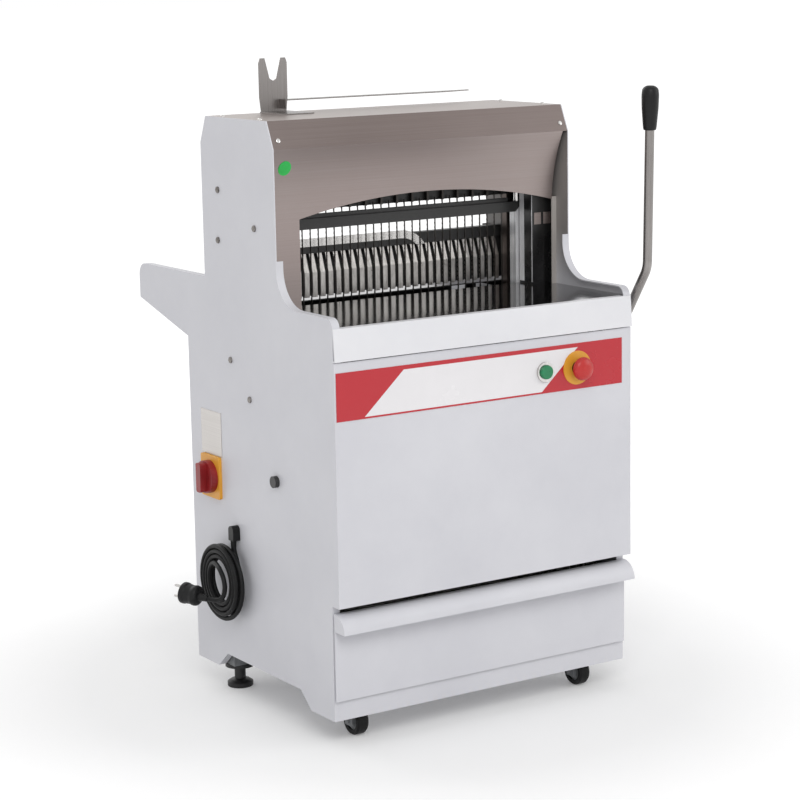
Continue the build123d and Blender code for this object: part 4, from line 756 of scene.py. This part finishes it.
def coil_point(turn):
    """A point of the bundle after so many turns."""
    if turn <= LOOPS:
        radius = COIL_R0 + LOOP_PITCH * turn
    elif turn >= LOOPS + 0.5:
        radius = COIL_R0 + LOOP_PITCH * (BACK_AT_R0 - turn)
    else:
        radius = COIL_R0 + LOOP_PITCH * LOOPS
    step = min(max((turn - LOOPS) / 0.5, 0), 1)
    radius += SWELL * math.sin(math.pi * step) ** 2
    x = COIL_X - LOOP_PITCH * (3 * step ** 2 - 2 * step ** 3)
    for end, side in ((turn, 1), (COIL_END - turn, -1)):
        if end < 0.25:
            radius -= TUCK * (1 - end / 0.25) ** 2
            x += side * RISE * (1 - end / 0.25) ** 2
    angle = 2 * math.pi * turn
    return Vector((x, COIL_MIDDLE[0] - radius * math.cos(angle), COIL_MIDDLE[1] - radius * math.sin(angle)))


def heading(turn):
    """The way the bundle runs after so many turns."""
    return (coil_point(turn + 1e-4) - coil_point(turn - 1e-4)).normalized()


outlet_low, outlet_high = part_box("cord_gland")
OUTLET_GAP = 0.0046
exit_x = LEFT_FACE - CORD_R - OUTLET_GAP
exit_point = Vector((exit_x, (outlet_low[1] + outlet_high[1]) / 2, outlet_low[2]))
first_way, last_way = heading(1e-3), heading(COIL_END - 1e-3)
lead_end = coil_point(0) - first_way * 2 * CORD_R
drop = (exit_point.z - lead_end.z) / 4
route = [exit_point, exit_point - Vector((0, 0, drop)), exit_point + Vector((0.0015, -0.006, -2 * drop)),
         lead_end - first_way * drop, lead_end]
loops = int(COIL_END * POINTS_A_LOOP)
route += [coil_point(i / POINTS_A_LOOP) for i in range(loops + 1)]
point = coil_point(COIL_END) + last_way * 2 * CORD_R
route.append(point)
out_angle, flat_angle = math.asin(-last_way.x), math.atan2(last_way.z, last_way.y)
TAIL_RUN = 0.019
TAIL = ((0, 0), (-13, 36), (-15, 72), (-13, 108), (-5, 144), (13, 178))
for lift, bend in TAIL:
    a, b = out_angle + math.radians(lift), flat_angle + math.radians(bend)
    way = Vector((-math.sin(a), math.cos(a) * math.cos(b), math.cos(a) * math.sin(b)))
    point = point + way * TAIL_RUN
    route.append(point)
print("cord route", len(route), "points")

# %% [markdown]
# A NURBS line rounds the route's corners by itself, as a springy cord does. The points come first,
# then the order and the setting that makes the line reach both end points.

# %% The cord as a NURBS curve
line = bpy.data.curves.new("mains_cord", "CURVE")
line.dimensions = "3D"
spline = line.splines.new("NURBS")
spline.points.add(len(route) - 1)
for i, p in enumerate(route):
    spline.points[i].co = (*p, 1.0)
spline.order_u = 3
spline.use_endpoint_u = True
spline.resolution_u = 6
line.bevel_depth = CORD_R
line.bevel_resolution = 4
line.use_fill_caps = True
line.materials.append(rubber_black)
mains_cord = bpy.data.objects.new("mains_cord", line)
bpy.context.scene.collection.objects.link(mains_cord)
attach(mains_cord, "root")
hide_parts("cord_lead", "cord_coil", "plug_lead")
print("cord curve of order", spline.order_u, "with", len(spline.points), "points")

# %% [markdown]
# The plug is a moulded body with a ribbed neck and two round pins. It lies in line with the end of
# the tail. A short ribbed sleeve guards the cord where it leaves the outlet.

# %% Plug and strain relief
plug_way = way
SLEEVE_L, PLUG_L = 0.018, 0.034
plug_profile = [(0, 0.0), (0.0052, 0.0), (0.0056, 0.002), (0.0062, 0.004), (0.0058, 0.006), (0.0068, 0.008),
                (0.0064, 0.010), (0.0074, 0.012), (0.0075, 0.0155), (0.0135, 0.0175), (0.0172, 0.0205),
                (0.0182, 0.026), (0.0168, 0.032), (0.0176, 0.041), (0.019, 0.0445), (0.019, 0.0505),
                (0.0178, 0.052), (0, 0.052)]
plug_body = finish_piece("plug_body", lathe(rounded(plug_profile, 0.0012, 3), route[-1], plug_way),
                         black_moulding, "root", ["mains_plug"], 50)
pin_tall = 0.019
side_way = Vector((0, 0, 1)) - plug_way * plug_way.z
side_way.normalize()
PIN_R, PIN_SIDE = 0.0024, 0.0095
PIN_SUNK, PIN_TIP = 0.001, 0.001
for number, side in enumerate((-PIN_SIDE, PIN_SIDE)):
    pin_base = route[-1] + plug_way * (SLEEVE_L + PLUG_L - PIN_SUNK) + side_way * side
    pin_profile = [(0, 0), (PIN_R, 0), (PIN_R, pin_tall - PIN_TIP), (PIN_R * 0.5, pin_tall + PIN_TIP),
                   (0, pin_tall + PIN_TIP)]
    pin = lathe(rounded(pin_profile, 0.0008, 3), pin_base, plug_way, 20)
    finish_piece(f"plug_pin_{number + 1}", pin, bright_steel, "root",
                             ["mains_plug"], 50)
relief_profile = [(0, 0), (0.0054, 0.0), (0.0054, 0.002), (0.005, 0.003), (0.0053, 0.005),
                  (0.0049, 0.007), (0.0052, 0.009), (0.0047, 0.012), (0.0049, 0.014), (0.0045, 0.018),
                  (0.0043, 0.0205), (0, 0.0205)]
finish_piece("strain_relief", lathe(relief_profile, exit_point, (0, 0, -1), 32), rubber_black, "root",
             (), 50)

# %% [markdown]
# ## Stage and light
# The picture has an almost white ground and very soft light. The floor is a wide pale sheet that
# still takes the machine's shadow. Seen by the camera or in a reflection it is lifted towards white
# through Light Path, so no extra light falls on the machine itself. The lift is small near the
# machine, where the shadow lies, and grows with the distance from it.


# %% Floor and world
def seen_mask(tree):
    """1 for rays from the camera, mirrors and glass."""
    rays = tree.nodes.new("ShaderNodeLightPath")
    first = combine(tree, rays.outputs["Is Camera Ray"], rays.outputs["Is Glossy Ray"], "MAXIMUM")
    return combine(tree, first, rays.outputs["Is Transmission Ray"], "MAXIMUM")


FLOOR_SIZE = 160.0
floor_mesh = bpy.data.meshes.new("floor")
half = FLOOR_SIZE / 2
corners = [(-half, -half, 0), (half, -half, 0), (half, half, 0), (-half, half, 0)]
floor_mesh.from_pydata(corners, [], [(0, 1, 2, 3)])
floor = bpy.data.objects.new("floor", floor_mesh)
bpy.context.scene.collection.objects.link(floor)
floor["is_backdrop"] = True
floor_finish = bpy.data.materials.new("floor_paper")
floor_finish.use_nodes = True
tree = floor_finish.node_tree
tree.nodes.remove(tree.nodes["Principled BSDF"])
paper = add(tree, "ShaderNodeBsdfDiffuse", [("Color", (0.86, 0.86, 0.86, 1))])
glow = add(tree, "ShaderNodeEmission", [("Color", (1, 1, 1, 1))])
NEAR_GLOW, FAR_GLOW, NEAR_R, FAR_R = 0.14, 0.6, 0.55, 1.5
floor_place = add(tree, "ShaderNodeTexCoord")
away = add(tree, "ShaderNodeVectorMath", [(0, floor_place.outputs["Object"])], operation="LENGTH")
spread = add(tree, "ShaderNodeMapRange", [("Value", away.outputs["Value"]), ("From Min", NEAR_R),
             ("From Max", FAR_R), ("To Min", NEAR_GLOW), ("To Max", FAR_GLOW)])
lift = combine(tree, seen_mask(tree), spread.outputs[0], "MULTIPLY")
tree.links.new(lift, glow.inputs["Strength"])
both = add(tree, "ShaderNodeAddShader", [(0, paper.outputs[0]), (1, glow.outputs[0])])
tree.links.new(both.outputs[0], tree.nodes["Material Output"].inputs["Surface"])
floor_mesh.materials.append(floor_finish)

world = bpy.data.worlds.new("studio")
world.use_nodes = True
bpy.context.scene.world = world
tree = world.node_tree
background = tree.nodes["Background"]
WORLD_FILL = 0.62
level = add(tree, "ShaderNodeMapRange", [("Value", seen_mask(tree)), ("To Min", WORLD_FILL), ("To Max", 1.0)])
tree.links.new(level.outputs[0], background.inputs["Strength"])
background.inputs["Color"].default_value = (1, 1, 1, 1)
print("floor glow", NEAR_GLOW, "to", FAR_GLOW)

# %% [markdown]
# Three large soft boxes give the plain light: the key from the front left, a weaker fill from the
# front right, and one from behind for the top and the rear edges.


# %% Soft boxes
def soft_box(name, place, target, size, power):
    """A rectangular lamp that faces its target."""
    light = bpy.data.lights.new(name, "AREA")
    light.shape = "RECTANGLE"
    light.size, light.size_y = size
    light.energy = power
    obj = bpy.data.objects.new(name, light)
    bpy.context.scene.collection.objects.link(obj)
    way = Vector(target) - Vector(place)
    obj.matrix_world = Matrix.Translation(place) @ way.to_track_quat("-Z", "Y").to_matrix().to_4x4()


soft_box("key", (-1.6, -3.2, 3.0), (0, 0, 0.6), (2.4, 2.0), 52)
soft_box("fill", (3.0, -2.4, 2.0), (0, 0, 0.6), (2.0, 2.0), 22)
soft_box("back", (-0.5, 3.0, 2.6), (0, 0, 0.8), (2.5, 1.5), 26)
bpy.context.scene.view_settings.view_transform = "Standard"

# %% [markdown]
# The dressed machine has to stay inside the CAD model's box. Here only its own box is printed.

# %% Sizes
low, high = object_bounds()
print("visual box", [round(v, 3) for v in (*low, *high)])
